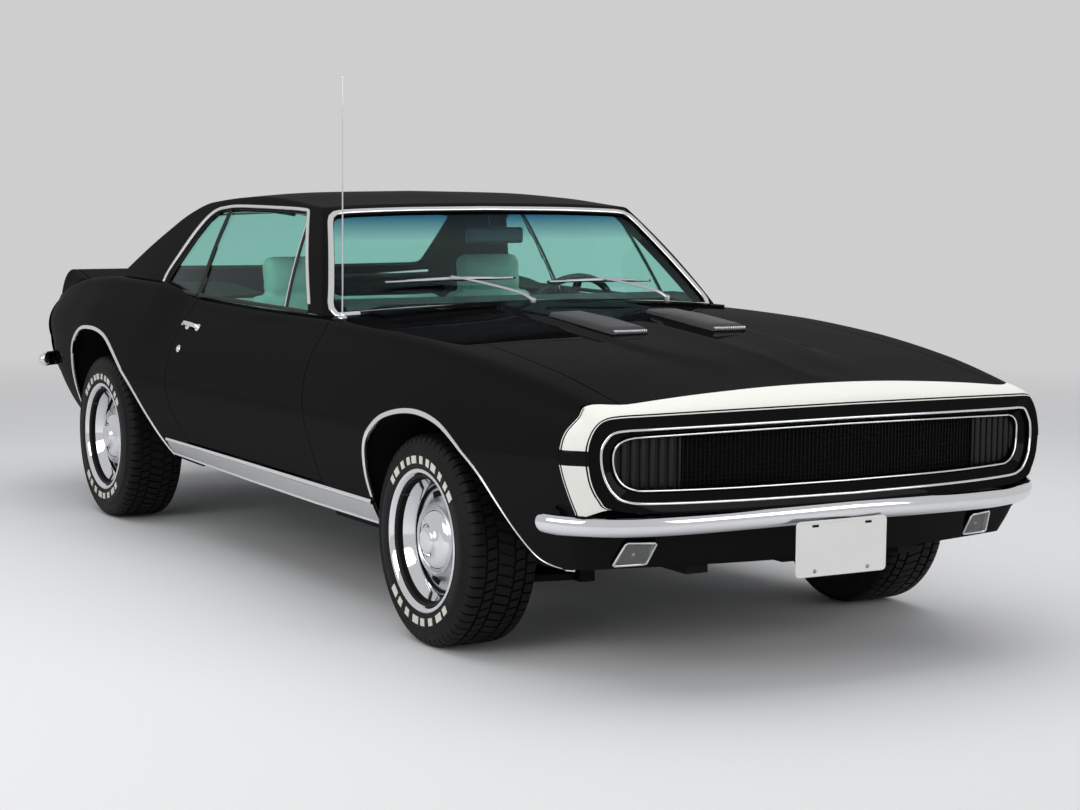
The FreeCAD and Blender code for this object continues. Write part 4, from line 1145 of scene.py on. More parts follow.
@operator("bumpers", "Bumpers", "Makes both bumpers, their bolts, the bare plate and the parking lamps")
def bumpers(context):
    fitted("bumper_bar", swept_bar(BUMPER_PATH, BUMPER_SECTION, -1), "chrome", "front_bumper")
    heads = [dome((side * x, s, z), 8, 6, (side * 0.1, -0.35, 1))
             for x, s, z in ((474, -862, 470), (734, -772, 469)) for side in (1, -1)]
    fitted("bumper_bolts", joined(*heads), "chrome", "front_bumper", smooth=60)
    rear = swept_bar(REAR_BUMPER_PATH, [(o, u * 1.15) for o, u in BUMPER_SECTION], 1)
    fitted("rear_bar", rear, "chrome", "rear_bumper")
    heads = [dome((x, 3700, 578), 8, 6, (0, 0.3, 1)) for x in (-470, 470)]
    heads += [dome((side * 808, 3598, 551), 25, 16, (side * 0.1, -1, 0)) for side in (-1, 1)]
    fitted("rear_bolts", joined(*heads), "chrome", "rear_bumper", smooth=60)
    bare_plate()
    for side, sign in SIDES:
        parking_lamp(side, sign)


def bare_plate():
    """A rounded sheet with a raised border, dark patches of painted shade for the slots at the top, and two bolts at
    the bottom.
    """
    px, pz, half_w, half_h, face = -50.0, 370.0, 152.0, 76.0, -927.0

    def rounded(half_x, half_z, radius, s, count=8):
        out = []
        for cx, cz, start in ((half_x, half_z, 0), (-half_x, half_z, 90), (-half_x, -half_z, 180),
                              (half_x, -half_z, 270)):
            for k in range(count + 1):
                a = math.radians(start + 90 * k / count)
                out.append((px + math.copysign(abs(cx) - radius, cx) + radius * math.cos(a), s,
                            pz + math.copysign(abs(cz) - radius, cz) + radius * math.sin(a)))
        return np.array(out)

    rows = [rounded(half_w - inset, half_h - inset, radius, face + back) for inset, radius, back in
            ((1, 12, 3), (0, 13, 2), (0, 13, 0), (2, 11, -1.5), (6, 8, -1.5), (8, 7, 0))]
    fitted("plate_sheet", lofted(rows), "plate", "front_bumper", smooth=30)
    bolt_places = (px - 89, px + 89)
    # Dark patches on the sheet: painted shade in place of the slots' openings.
    slots = [rounded_box(x - 11, x + 11, face - 0.9, face + 1.5, pz + 58, pz + 65, 3, 2) for x in bolt_places]
    fitted("plate_slot_shade", joined(*slots), "liner", "front_bumper")
    bolts = [dome((x, face, pz - 61), 6, 2.6, (0, -1, 0)) for x in bolt_places]
    fitted("plate_bolts", joined(*bolts), "steel", "front_bumper", smooth=60)
    fitted("plate_tab", rounded_box(px - 40, px + 40, face + 3, -800, 420, 436, 3, 2), "under", "front_bumper")


def parking_lamp(side, sign):
    """A four-sided lamp in the valance: bezel, lens, bowl and bulb."""
    corner = np.array([(541, -769, 393), (624, -749, 396), (643, -712, 330), (546, -725, 330)], float)
    corner[:, 0] *= sign
    centre = corner.mean(0)

    def ring(share, back):
        return centre + (corner - centre) * share + np.array([0, back, 0])

    loop = [a + (b - a) * t for a, b in zip(corner, np.roll(corner, -1, 0)) for t in (0.06, 0.35, 0.65, 0.94)]
    bezel = outward(tube(np.array(loop), 4.0, 8, closed=True, up=(0, 1, 0)))
    points = np.vstack([ring(1.0, 0), ring(0.9, -4), ring(0.45, -6), ring(0.0, -6.5)[:1]])
    faces = grid_faces(3, 4, close_columns=True) + [(8 + i, 8 + (i + 1) % 4, 12) for i in range(4)]
    cover = outward(walled(points, faces if sign > 0 else [tuple(reversed(f)) for f in faces], 2.0))
    bowl_faces = grid_faces(2, 4, close_columns=True) + [(4, 5, 6, 7)]
    bowl = outward(walled(np.vstack([ring(0.99, 2), ring(0.7, 26)]), bowl_faces, 1.5))
    bulb = dome(centre + np.array([0, 24, 0]), 11, 18, (0, -1, 0), 5)
    for name, part, material, smooth in (("lamp_bezel_", bezel, "chrome", 60), ("lamp_lens_", cover, "lens", 30),
                                         ("lamp_bowl_", bowl, "bowl", 30), ("lamp_bulb_", bulb, "amber", 180)):
        fitted(name + side, part, material, "front_lamps", smooth=smooth)


# ---------------------------------------------------------------- greenhouse
# Columns: half-width, windscreen base station, windscreen top station, windscreen top height, roof peak height,
# roof rear height, tail base station
ROOF_ROWS = np.array(((0.0, 740, 1225, 1254, 1290, 1262, 2885), (350.0, 774, 1222, 1250, 1284, 1256, 2890),
                      (620.0, 846, 1210, 1238, 1264, 1236, 2912), (800.0, 916, 1204, 1226, 1246, 1220, 2930)))
SCREEN_BASE_Z = 930.0
PEAK_STATION, REAR_STATION, SAIL_STATION = 1715.0, 2230.0, 2560.0
SAIL_DROP, TAIL_BASE_Z = 112.0, 958.0
SIDE_ROWS = np.array(((620.0, 778, 603), (1300.0, 775, 603), (2000.0, 778, 600), (2500.0, 762, 585),
                      (3060.0, 706, 548)))
RAIL_Z, FOOT_Z, SIDE_BULGE = 1234.0, 850.0, 12.0
# window outlines: the screens against (half-width, height), the side against (station, height)
SCREEN_OUTLINE = ((0, 1226), (300, 1223), (500, 1217), (566, 1211), (584, 1200), (600, 1172), (650, 1068), (700, 960),
                  (714, 930), (712, 918), (690, 915), (400, 934), (0, 940))
REAR_OUTLINE = ((0, 1206), (300, 1203), (480, 1197), (515, 1190), (530, 1172), (560, 1100), (592, 1010), (600, 988),
                (592, 978), (560, 976), (0, 972))
SIDE_OUTLINE = ((978, 880), (985, 897), (1010, 930), (1100, 1016), (1200, 1110), (1300, 1204), (1314, 1214),
                (1335, 1219), (1500, 1222), (1900, 1221), (2050, 1213), (2110, 1200), (2160, 1168), (2206, 1112),
                (2258, 1035), (2310, 962), (2318, 940), (2310, 925), (2250, 910), (2000, 893), (1400, 880))


def profile_height(x, s):
    """Height of the greenhouse's long profile at a half-width and a station."""
    base, top_s, top_height, peak, rear, tail = table_row(ROOF_ROWS, abs(float(x)))
    if s <= top_s:
        return SCREEN_BASE_Z + (top_height - SCREEN_BASE_Z) * (s - base) / (top_s - base)
    sail = rear - SAIL_DROP
    stations = (top_s, PEAK_STATION, REAR_STATION, (REAR_STATION + SAIL_STATION) / 2, SAIL_STATION, tail, tail + 200)
    slope = (sail - TAIL_BASE_Z) / (tail - SAIL_STATION)
    heights = (top_height, peak, rear, rear - 0.36 * SAIL_DROP, sail, TAIL_BASE_Z, TAIL_BASE_Z - 200 * slope)
    return float(smooth_table(stations, heights, [s])[0])


def side_x(s, z):
    """Half-width of the greenhouse's side."""
    foot, rail = table_row(SIDE_ROWS, s)
    t = (z - FOOT_Z) / (RAIL_Z - FOOT_Z)
    return foot + (rail - foot) * t + SIDE_BULGE * 4 * t * (1 - t) * (1 if 0 < t < 1 else 0)


ROOF_TOP_COUNT, ROOF_SIDE_COUNT = 34, 30


def roof_section(s, low_z=905.0):
    """Half section of the greenhouse, from the centre line over the rail to the belt."""
    corner_x = halved(0.0, 800.0, lambda x: side_x(s, profile_height(x, s)) > x)
    corner_z = profile_height(corner_x, s)
    top = [(u * corner_x, profile_height(u * corner_x, s))
           for u in np.sin(np.linspace(0, math.pi / 2, ROOF_TOP_COUNT)) ** 0.8]
    bottom = min(low_z, corner_z - 4.0)
    side = [(side_x(s, z), z) for z in np.linspace(corner_z, bottom, ROOF_SIDE_COUNT)[1:]]
    p = np.array(top + side)
    k = ROOF_TOP_COUNT - 1
    for _ in range(5):
        soft = 0.25 * p[:-2] + 0.5 * p[1:-1] + 0.25 * p[2:]
        p[k - 5:k + 6] = soft[k - 6:k + 5]
    return p


def roof_grid(first=756.0, last=2930.0, step=16.0):
    """Grid of (half-width, station, height) over the left half of the greenhouse."""
    stations = np.linspace(first, last, int((last - first) / step) + 1)
    rows = []
    for s in stations:
        half = roof_section(s)
        rows.append(np.stack([half[:, 0], np.full(len(half), s), half[:, 1]], 1))
    return np.vstack(rows), grid_faces(len(stations), len(rows[0]))


def polygon_distance(px, py, outline):
    """Distance to a closed outline, positive outside it."""
    poly = np.asarray(outline, float)
    inside = np.zeros(len(px), bool)
    best = np.full(len(px), 1e9)
    for i in range(len(poly)):
        (ax, ay), (bx, by) = poly[i], poly[(i + 1) % len(poly)]
        dx, dy = bx - ax, by - ay
        t = np.clip(((px - ax) * dx + (py - ay) * dy) / (dx * dx + dy * dy + 1e-9), 0, 1)
        best = np.minimum(best, np.hypot(px - ax - t * dx, py - ay - t * dy))
        inside ^= ((ay > py) != (by > py)) & (px < (bx - ax) * (py - ay) / (by - ay + 1e-12) + ax)
    return np.where(inside, -best, best)


def both_halves(outline):
    """An outline of half-widths closed over the centre line."""
    return list(outline) + [(-x, z) for x, z in outline[-2:0:-1]]


def screen_s(x, z):
    """Station of the windscreen at a half-width and height."""
    base, top_s, top_height = table_row(ROOF_ROWS, abs(x))[:3]
    return base + (z - SCREEN_BASE_Z) * (top_s - base) / (top_height - SCREEN_BASE_Z)


def screen_height(x, s):
    """Height of the windscreen's inner side above a station, or of the sill beside it."""
    base, top_s, top_height = table_row(ROOF_ROWS, abs(x))[:3]
    return SCREEN_BASE_Z + (s - base) * (top_height - SCREEN_BASE_Z) / (top_s - base)


def rear_s(x, z):
    """Station of the rear window's surface."""
    return halved(2100.0, 3100.0, lambda s: profile_height(x, s) > z)


def frame_strip(curve, surface, width, height, closed=True):
    """A rounded moulding along a curve of points; surface gives the outward direction at each point."""
    p = np.asarray(curve, float)
    n = np.array([surface(q) for q in p])
    if closed:
        p = np.vstack([p, p[:1]])
        n = np.vstack([n, n[:1]])
    ahead = np.gradient(p, axis=0)
    if closed:
        ahead[0] = ahead[-1] = p[1] - p[-2]
    ahead = unit(ahead)
    across = unit(np.cross(n, ahead))
    section = np.array([(-1.5, width / 2)] + half_round(width, height) + [(-1.5, -width / 2)])
    rows = [p[i] + section[:, :1] * n[i] + section[:, 1:] * across[i] for i in range(len(p))]
    if closed:
        return outward(merged(np.vstack(rows), grid_faces(len(p), len(section), close_columns=True), 0.01))
    return lofted(rows)


def screen_direction(station, way):
    """Gives the outward direction of a screen, forwards (-1) or rearwards (1), from its function for stations."""

    def direction(q):
        x, _, z = q
        a = np.array([0, station(x, z + 10) - station(x, z - 10), 20.0])
        b = np.array([20.0, station(x + 10, z) - station(x - 10, z), 0])
        n = unit(np.cross(b, a))
        return n if n[1] * way > 0 else -n

    return direction


def flank_normal(q):
    """The outward direction of the greenhouse's side."""
    x, s, z = q
    n = np.array([1.0, -(side_x(s + 10, z) - side_x(s - 10, z)) / 20, -(side_x(s, z + 10) - side_x(s, z - 10)) / 20])
    return unit(n) * (1 if x > 0 else -1, 1, 1)


def flank_strip(sign, line, out, width, height, shift=0):
    """A moulding along (station, height) points on the greenhouse's side."""
    path = [(sign * (side_x(s, z) + out), s + shift, z) for s, z in line]
    return frame_strip(path, flank_normal, width, height, closed=False)


def grown(outline, distance):
    """A closed outline moved outwards."""
    step = np.roll(outline, -1, 0) - np.roll(outline, 1, 0)
    normal = unit(np.stack([step[:, 1], -step[:, 0]], 1))
    if (normal * (outline - outline.mean(0))).sum() < 0:
        normal = -normal
    return outline + normal * distance


def pane(name, grid, material, body, lift, node, *keeps):
    """A window cut from the greenhouse's surface and set below it."""
    points, faces = clipped(*grid, *keeps)
    points = points - vertex_normals(points, faces) * lift
    fitted(name, walled(points, faces, 4.5), material, node, smooth=180, body=body)


FAR = 500.0         # the distance given where a cut doesn't reach
DIVIDER = ((1948, 870), (1955, 896), (2008, 1240))
VENT_BAR = ((1188, 907), (1294, 1201))


@operator("greenhouse", "Greenhouse", "Makes the roof, the windows and their bright frames")
def greenhouse(context):
    half = roof_grid()
    whole = merged(*both(half))
    screen = both_halves(SCREEN_OUTLINE)
    rear = both_halves(REAR_OUTLINE)

    def outside_screen(x, s, z):
        return np.where(s < 1500, polygon_distance(x, z, screen), FAR)

    def outside_rear(x, s, z):
        return np.where(s > 2100, polygon_distance(x, z, rear), FAR)

    def outside_side(x, s, z):
        return np.where(np.abs(x) > 560, polygon_distance(s, z, SIDE_OUTLINE), FAR)

    def above_cowl(x, s, z):
        return np.where(s < 990, z - 897 - np.abs(x) * 0.005, FAR)

    shell = clipped(*whole, outside_screen, outside_rear, outside_side, above_cowl)
    panel("roof_skin", shell, ROOT, "roof", wall=ROOF_WALL, smooth=40)
    pane("screen_pane", whole, "screen", ROOT, 6.0, "windshield", lambda x, s, z: -outside_screen(x, s, z) + 8)
    pane("rear_pane", whole, "glass", ROOT, 6.0, "rear_window", lambda x, s, z: -outside_rear(x, s, z) + 8)

    def ahead_of_divider(x, s, z):
        stations, heights = zip(*DIVIDER)
        return np.interp(z, heights, stations) - s

    for side, sign in SIDES:
        pane("door_pane_" + side, whole, "glass", side + "_door", 8.0, "door_glass_" + side,
             lambda x, s, z: -outside_side(x, s, z) - 3, lambda x, s, z: ahead_of_divider(x, s, z) - 3,
             lambda x, s, z: sign * x)
        pane("side_pane_" + side, whole, "glass", ROOT, 8.0, "quarter_glass",
             lambda x, s, z: -outside_side(x, s, z) + 4, lambda x, s, z: -ahead_of_divider(x, s, z) - 6,
             lambda x, s, z: sign * x)
    greenhouse_trim()


def greenhouse_trim():
    """The bright frames of the screens, the drip rails and the bars and seals round the side windows."""

    def screen_curve(outline, station, away):
        p = spline(outline, 90)
        p = grown(np.vstack([p, (p[1:-1] * (-1, 1))[::-1]]), away)
        return np.array([(x, station(x, z), z) for x, z in p])

    for name, outline, station, way, away, width, height, node in (
            ("screen_frame", SCREEN_OUTLINE, screen_s, -1, 10, 21, 6, "windshield"),
            ("rear_frame", REAR_OUTLINE, rear_s, 1, 8, 16, 5, "rear_window")):
        strip = frame_strip(screen_curve(outline, station, away), screen_direction(station, way), width, height)
        fitted(name, strip, "bright", node, smooth=60)
    outline = spline(SIDE_OUTLINE, 160)
    away = 9 + 25 * smoothstep(2060, 2230, outline[:, 0])
    rail = [q for q in grown(outline, away[:, None]) if q[1] > 915 or (q[0] > 2200 and q[1] > 905)]
    seal = [q for q in grown(outline, 1.0) if q[1] > 905]
    rails = [flank_strip(sign, rail, 0, 14, 8) for _, sign in SIDES]
    seals = [flank_strip(sign, seal, -5, 12, 3) for _, sign in SIDES]
    fitted("drip_rails", joined(*rails), "bright", "roof", smooth=60)
    fitted("window_seals", joined(*seals), "seal", "roof", smooth=60)
    vent, divider = spline(VENT_BAR, 14), spline(DIVIDER[1:], 14)
    stations = np.linspace(985, 1944, 40)
    belt = np.stack([stations, np.interp(stations, (985, 1100, 1500, 1950), (905, 906, 908, 911))], 1)
    for side, sign in SIDES:
        stiles = joined(flank_strip(sign, vent, -7, 14, 5, -9), flank_strip(sign, divider, -6, 9, 5, -8),
                        flank_strip(sign, belt, 1, 14, 5))
        nodes, body = "door_glass_" + side, side + "_door"
        fitted("vent_bar_" + side, flank_strip(sign, vent, -7, 5, 6), "bright", nodes, body=body, smooth=60)
        fitted("glass_stiles_" + side, stiles, "seal", nodes, body=body, smooth=60)
    rear_belt = spline(((1962, 911), (2120, 915), (2260, 922)), 20)
    bars = [flank_strip(sign, *rest) for _, sign in SIDES for rest in ((divider, -6, 11, 5, 8), (rear_belt, 1, 14, 5))]
    fitted("side_stiles", joined(*bars), "seal", "quarter_glass", smooth=60)


# ---------------------------------------------------------------- repeats
def node_tree(name, inputs):
    """A geometry node group with a mesh input, named inputs and a mesh output."""
    tree = bpy.data.node_groups.new(name, "GeometryNodeTree")
    face = tree.interface
    face.new_socket("Geometry", in_out="INPUT", socket_type="NodeSocketGeometry")
    for key, kind in inputs:
        face.new_socket(key, in_out="INPUT", socket_type=kind)
    face.new_socket("Geometry", in_out="OUTPUT", socket_type="NodeSocketGeometry")
    return tree, tree.nodes.new("NodeGroupInput"), tree.nodes.new("NodeGroupOutput")


def repeat_tree(name, around):
    """Copies its mesh Count times: turned about the X axis through Pivot, or moved on by Step each time."""
    tree, given, result = node_tree(name, (("Count", "NodeSocketInt"), ("Vector", "NodeSocketVector"),
                                           ("Material", "NodeSocketMaterial")))
    link = tree.links.new
    one = tree.nodes.new("GeometryNodeGeometryToInstance")
    copies = tree.nodes.new("GeometryNodeDuplicateElements")
    copies.domain = "INSTANCE"
    link(given.outputs["Geometry"], one.inputs[0])
    link(one.outputs[0], copies.inputs["Geometry"])
    link(given.outputs["Count"], copies.inputs["Amount"])
    if around:
        angle = tree.nodes.new("ShaderNodeMath")
        angle.operation = "DIVIDE"
        turn = tree.nodes.new("ShaderNodeMath")
        turn.operation = "MULTIPLY"
        turn.inputs[1].default_value = 2 * math.pi
        link(copies.outputs["Duplicate Index"], angle.inputs[0])
        link(given.outputs["Count"], angle.inputs[1])
        link(angle.outputs[0], turn.inputs[0])
        euler = tree.nodes.new("ShaderNodeCombineXYZ")
        link(turn.outputs[0], euler.inputs[0])
        spin = tree.nodes.new("GeometryNodeRotateInstances")
        spin.inputs["Local Space"].default_value = False
        link(copies.outputs["Geometry"], spin.inputs["Instances"])
        link(euler.outputs[0], spin.inputs["Rotation"])
        link(given.outputs["Vector"], spin.inputs["Pivot Point"])
        placed = spin.outputs[0]
    else:
        step = tree.nodes.new("ShaderNodeVectorMath")
        step.operation = "SCALE"
        link(given.outputs["Vector"], step.inputs[0])
        link(copies.outputs["Duplicate Index"], step.inputs["Scale"])
        move = tree.nodes.new("GeometryNodeTranslateInstances")
        move.inputs["Local Space"].default_value = False
        link(copies.outputs["Geometry"], move.inputs["Instances"])
        link(step.outputs[0], move.inputs["Translation"])
        placed = move.outputs[0]
    real = tree.nodes.new("GeometryNodeRealizeInstances")
    coat = tree.nodes.new("GeometryNodeSetMaterial")
    link(placed, real.inputs[0])
    link(real.outputs[0], coat.inputs["Geometry"])
    link(given.outputs["Material"], coat.inputs["Material"])
    link(coat.outputs[0], result.inputs[0])
    return tree


def repeated(name, part, count, vector, material, body, around=True, smooth=30.0):
    """A piece made of count copies of one part."""
    key = "repeat_around" if around else "repeat_along"
    tree = bpy.data.node_groups.get(key) or repeat_tree(key, around)
    source = make_mesh(name + "_one", *part, material, None, smooth)
    modifier = source.modifiers.new("repeat", "NODES")
    modifier.node_group = tree
    ids = {item.name: item.identifier for item in tree.interface.items_tree if item.in_out == "INPUT"}
    modifier[ids["Count"]] = count
    modifier[ids["Vector"]] = vector
    modifier[ids["Material"]] = MATERIALS[material]
    mesh = seen_mesh(source)
    source.modifiers.remove(modifier)
    bpy.data.objects.remove(source)
    mesh.name = name
    obj = bpy.data.objects.new(name, mesh)
    bpy.context.scene.collection.objects.link(obj)
    shade(mesh, smooth)
    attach(obj, body)
    return obj


# ---------------------------------------------------------------- wheels
TYRE_FACE = 850.0
TYRE_WIDTH = 226.0
TREAD_DEPTH = 7.0
# Depth behind the wheel's outer plane and radius, along the bright trim ring, and along the disc with its cap
TRIM_RING = ((14, 186), (9, 200), (5, 207), (1, 208), (-1, 205), (-1, 201), (2, 197), (6, 194), (30, 177), (52, 161),
             (62, 155), (66, 154), (66, 158), (54, 166), (32, 183), (18, 190))
WHEEL_DISC = ((70, 160), (72, 152), (70, 146), (73, 138), (75, 128), (70, 120), (60, 112), (48, 107), (42, 104),
              (40, 100), (43, 96), (50, 92), (50, 90))
WHEEL_CAP = ((52, 93), (44, 88), (36, 80), (33, 72), (32, 60), (30, 50), (26, 44), (20, 41), (16, 39), (14, 36),
             (13, 30), (12.5, 22), (12, 12), (12, 0.0))
WHEEL_BARREL = ((20, 182), (30, 176), (90, 172), (190, 172), (212, 182), (218, 196), (221, 196), (220, 180),
                (194, 168), (90, 168), (70, 168), (68, 150), (64, 150), (60, 170), (20, 180), (20, 182))
VALVE = ((-6, 0), (-6, 6.5), (4, 6), (8, 4.4), (20, 4.2), (22, 3), (22, 0))
TREAD_COUNT = 62
SIDEWALL = ((18, 182), (12, 188), (7, 198), (4, 207), (1, 214), (-1, 226), (-2, 240), (-1, 252))


def tyre_profile(radius):
    """(depth, radius) from the outer bead over the tread's base to the inner bead, and back to the start."""
    base = radius - TREAD_DEPTH
    ribs = [(1.2 + k * 0.42 - 0.9 * (k % 2), r) for k, r in enumerate(np.linspace(radius - 52, radius - 26, 14))]
    shoulder = [(9, radius - 22), (13, radius - 15), (20, base - 4), (34, base - 1), (60, base)]
    half = list(SIDEWALL) + ribs + shoulder
    return half + [(TYRE_WIDTH - d, r) for d, r in reversed(half)] + half[:1]


def block_mesh(profile, thickness, half_angle, station, height, skew=0.0):
    """A tread block: a radial outline (depth, radius) given a width round the tyre and a root below it."""
    points = []
    for sign in (-1, 1):
        for d, r in profile:
            for inner in (0, 1):
                a = sign * half_angle * (1 if inner else 0.93) + skew * d
                rr = r - thickness * inner
                points.append((TYRE_FACE - d, station + rr * math.sin(a), height + rr * math.cos(a)))
    m = len(profile)
    faces = []
    for i in range(m - 1):
        a, b = 2 * i, 2 * (i + 1)
        c = 2 * m
        faces += [(a, b, b + c, a + c), (a + 1, a + 1 + c, b + 1 + c, b + 1), (a, a + 1, b + 1, b),
                  (a + c, b + c, b + 1 + c, a + 1 + c)]
    end = 2 * (m - 1)
    faces += [(0, 2 * m, 2 * m + 1, 1), (end, end + 1, end + 1 + 2 * m, end + 2 * m)]
    return outward((np.array(points), faces))


def mark_arc(radius_low, radius_high, station, height, start, end, count):
    """Plain raised bars on a sidewall, in place of lettering."""
    bars = []
    for k in range(count):
        a0 = start + (end - start) * (k + 0.12) / count
        a1 = start + (end - start) * (k + (0.60 if k % 3 else 0.82)) / count
        points = []
        steps = 4
        for layer in (0.4, 3.2):
            for r in (radius_low, radius_high):
                for j in range(steps + 1):
                    a = a0 + (a1 - a0) * j / steps
                    points.append((TYRE_FACE + layer, station + r * math.sin(a), height + r * math.cos(a)))
        n = steps + 1
        faces = []
        for j in range(steps):
            faces += [(2 * n + j, 2 * n + j + 1, 3 * n + j + 1, 3 * n + j), (j, n + j, n + j + 1, j + 1),
                      (j, j + 1, 2 * n + j + 1, 2 * n + j), (n + j, 3 * n + j, 3 * n + j + 1, n + j + 1)]
        faces += [(0, 2 * n, 3 * n, n), (steps, n + steps, 3 * n + steps, 2 * n + steps)]
        bars.append(outward((np.array(points), faces)))
    return joined(*bars)


def tread_blocks(radius, station, height):
    """The tread blocks of one pitch."""
    pitch = math.pi / TREAD_COUNT
    shoulder = [(7, radius - 24), (9, radius - 16), (14, radius - 8), (22, radius - 3), (34, radius - 1),
                (46, radius - 0.4)]
    blocks = [block_mesh(profile, TREAD_DEPTH, pitch * 0.86, station, height)
              for profile in (shoulder, [(TYRE_WIDTH - d, r) for d, r in shoulder])]
    for d0, d1, skew in ((54, 82, 0.0009), (89, 137, -0.0009), (144, 172, 0.0009)):
        blocks.append(block_mesh([(d0, radius - 0.4), ((d0 + d1) / 2, radius), (d1, radius - 0.4)],
                                 TREAD_DEPTH, pitch * 0.82, station, height, skew))
    return joined(*blocks)


def wheel_slots(station, height):
    """Five dark patches round the disc, painted shade in place of the openings of its slots."""
    slots = []
    for k in range(5):
        a = 2 * math.pi * k / 5 + 0.3
        share = np.linspace(-1, 1, 9)
        outline = [(142.0, a + 0.16 * t) for t in share] + [(124.0, a - 0.16 * t) for t in share]
        slots.append(lofted([[(TYRE_FACE - depth, station + r * math.sin(b), height + r * math.cos(b))
                              for r, b in outline] for depth in (71.5, 78.0)]))
    return joined(*slots)


@operator("wheels", "Wheels", "Makes the rims, the tyres and their treads")
def wheels(context):
    for axle, station in (("front", 0.0), ("rear", WHEELBASE)):
        for side, sign in SIDES:
            tag = axle + "_" + side
            lo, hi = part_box("tyre_" + tag)
            radius = (hi[2] - lo[2]) / 2 / MM
            height = (hi[2] + lo[2]) / 2 / MM

            def add(name, part, material, node, smooth=50):
                fitted(name + "_" + tag, sided(part, sign), material, node + "_" + tag, body="wheel_" + tag,
                       smooth=smooth)

            def spun(profile, segments=96):
                return outward(turned([(TYRE_FACE - d, r) for d, r in profile], station, height, segments))

            add("tyre_wall", spun(tyre_profile(radius), 120), "rubber", "tyre", 40)
            pivot = tuple(place([(0, station, height)])[0])
            blocks = sided(tread_blocks(radius, station, height), sign)
            tread = repeated("tread_" + tag, blocks, TREAD_COUNT, pivot, "rubber", "wheel_" + tag)
            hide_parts("tyre_" + tag)
            marks = joined(mark_arc(224, 246, station, height, -0.95, 0.95, 11),
                           mark_arc(224, 246, station, height, math.pi - 0.85, math.pi + 0.85, 8))
            add("sidewall_marks", marks, "white_rubber", "tyre", 30)
            add("trim_ring", spun(TRIM_RING + TRIM_RING[:1]), "chrome", "rim")
            back = tuple((d + 4, r) for d, r in reversed(WHEEL_DISC))
            add("wheel_disc", spun(WHEEL_DISC + back + WHEEL_DISC[:1]), "silver", "rim")
            add("wheel_cap", spun(WHEEL_CAP + ((54, 0.0), (54, 93)) + WHEEL_CAP[:1], 64), "chrome", "rim")
            add("wheel_barrel", spun(WHEEL_BARREL), "liner", "rim")
            # Dark patches on the disc: painted shade standing in for the openings of the wheel's slots.
            add("wheel_slots", wheel_slots(station, height), "liner", "rim", 30)
            a, r, foot = math.atan2(140, 117), 181.0, TYRE_FACE - 30
            stem = turned([(foot + out, thick) for out, thick in VALVE], station + r * math.sin(a),
                          height + r * math.cos(a), 16)
            add("valve", outward(stem), "seal", "rim")


# ---------------------------------------------------------------- bright trim along the sides
def ribbon(path, normals, out_dirs, widths, height, back=8.0):
    """A flat moulding on the body's side: from the path outwards by its width, with a return behind the path."""
    rows = []
    for p, n, o, w in zip(path, normals, out_dirs, widths):
        rows.append([p - n * back, p + n * 0.4 - o * 0.6, p + n * height * 0.75, p + n * height + o * w * 0.22,
                     p + n * height + o * w * 0.72, p + n * height * 0.55 + o * w * 0.94, p + o * w - n * 1.0,
                     p - n * 3.0 + o * w * 0.6, p - n * 3.0])
    return lofted(rows)


def arch_lip(outline, widths, count):
    """A wheel-lip moulding; widths is a table of width against the share of the way along the outline."""
    curve = spline(outline, count)
    points, normals = on_side(curve)
    out = np.cross(normals, unit(np.gradient(points, axis=0)))
    radial = np.stack([np.zeros(count), curve[:, 0] - curve[:, 0].mean(), curve[:, 1] - 330.0], 1)
    out *= np.sign((out * radial).sum(1))[:, None]
    return ribbon(points, normals, out, np.interp(np.linspace(0, 1, count), *zip(*widths)), 3.0)


LIP_FRONT = ((331, 392), (327, 436), (318, 480), (297, 540), (262, 585), (200, 632), (132, 658), (40, 675), (-57, 677),
             (-165, 658), (-265, 612), (-353, 550), (-425, 470), (-482, 390), (-516, 346), (-548, 324), (-600, 314),
             (-650, 316))
LIP_REAR = ((3087, 400), (3087, 460), (3078, 540), (3050, 622), (3000, 680), (2900, 724), (2760, 737), (2640, 728),
            (2545, 700), (2420, 632), (2300, 545), (2215, 452), (2165, 385), (2125, 338), (2095, 312))
ROCKER_TOP, ROCKER_FRONT, ROCKER_REAR = 381.0, 352.0, 2090.0


def door_handle():
    """The left door's handle, its button and the lock."""
    lifts = ((1772, 806, 3), (1780, 806, 12), (1795, 806, 19), (1830, 806, 22), (1868, 807, 20), (1890, 808, 15))
    bar = tube(spline([off_side(*q) for q in lifts], 26),
               np.interp(np.linspace(0, 1, 26), (0, 0.15, 0.7, 1), (7, 7, 8, 6)), 10, squash=(0.55, 1.1), up=(0, 0, 1))

    def head(s, z, lift, *rest):
        return dome(off_side(s, z, lift), *rest[:2], on_side([(s, z)])[1][0], *rest[2:])

    button = rod(off_side(1880, 806, 0), off_side(1880, 806, 19), 9, 14, up=(0, 0, 1))
    return joined(outward(bar), head(1781, 806, -1, 15, 9), head(1872, 806, -1, 15, 9), button,
                  head(1871, 726, -0.5, 14, 6, 5, 24), head(1871, 726, 4.5, 7, 3, 3, 16))


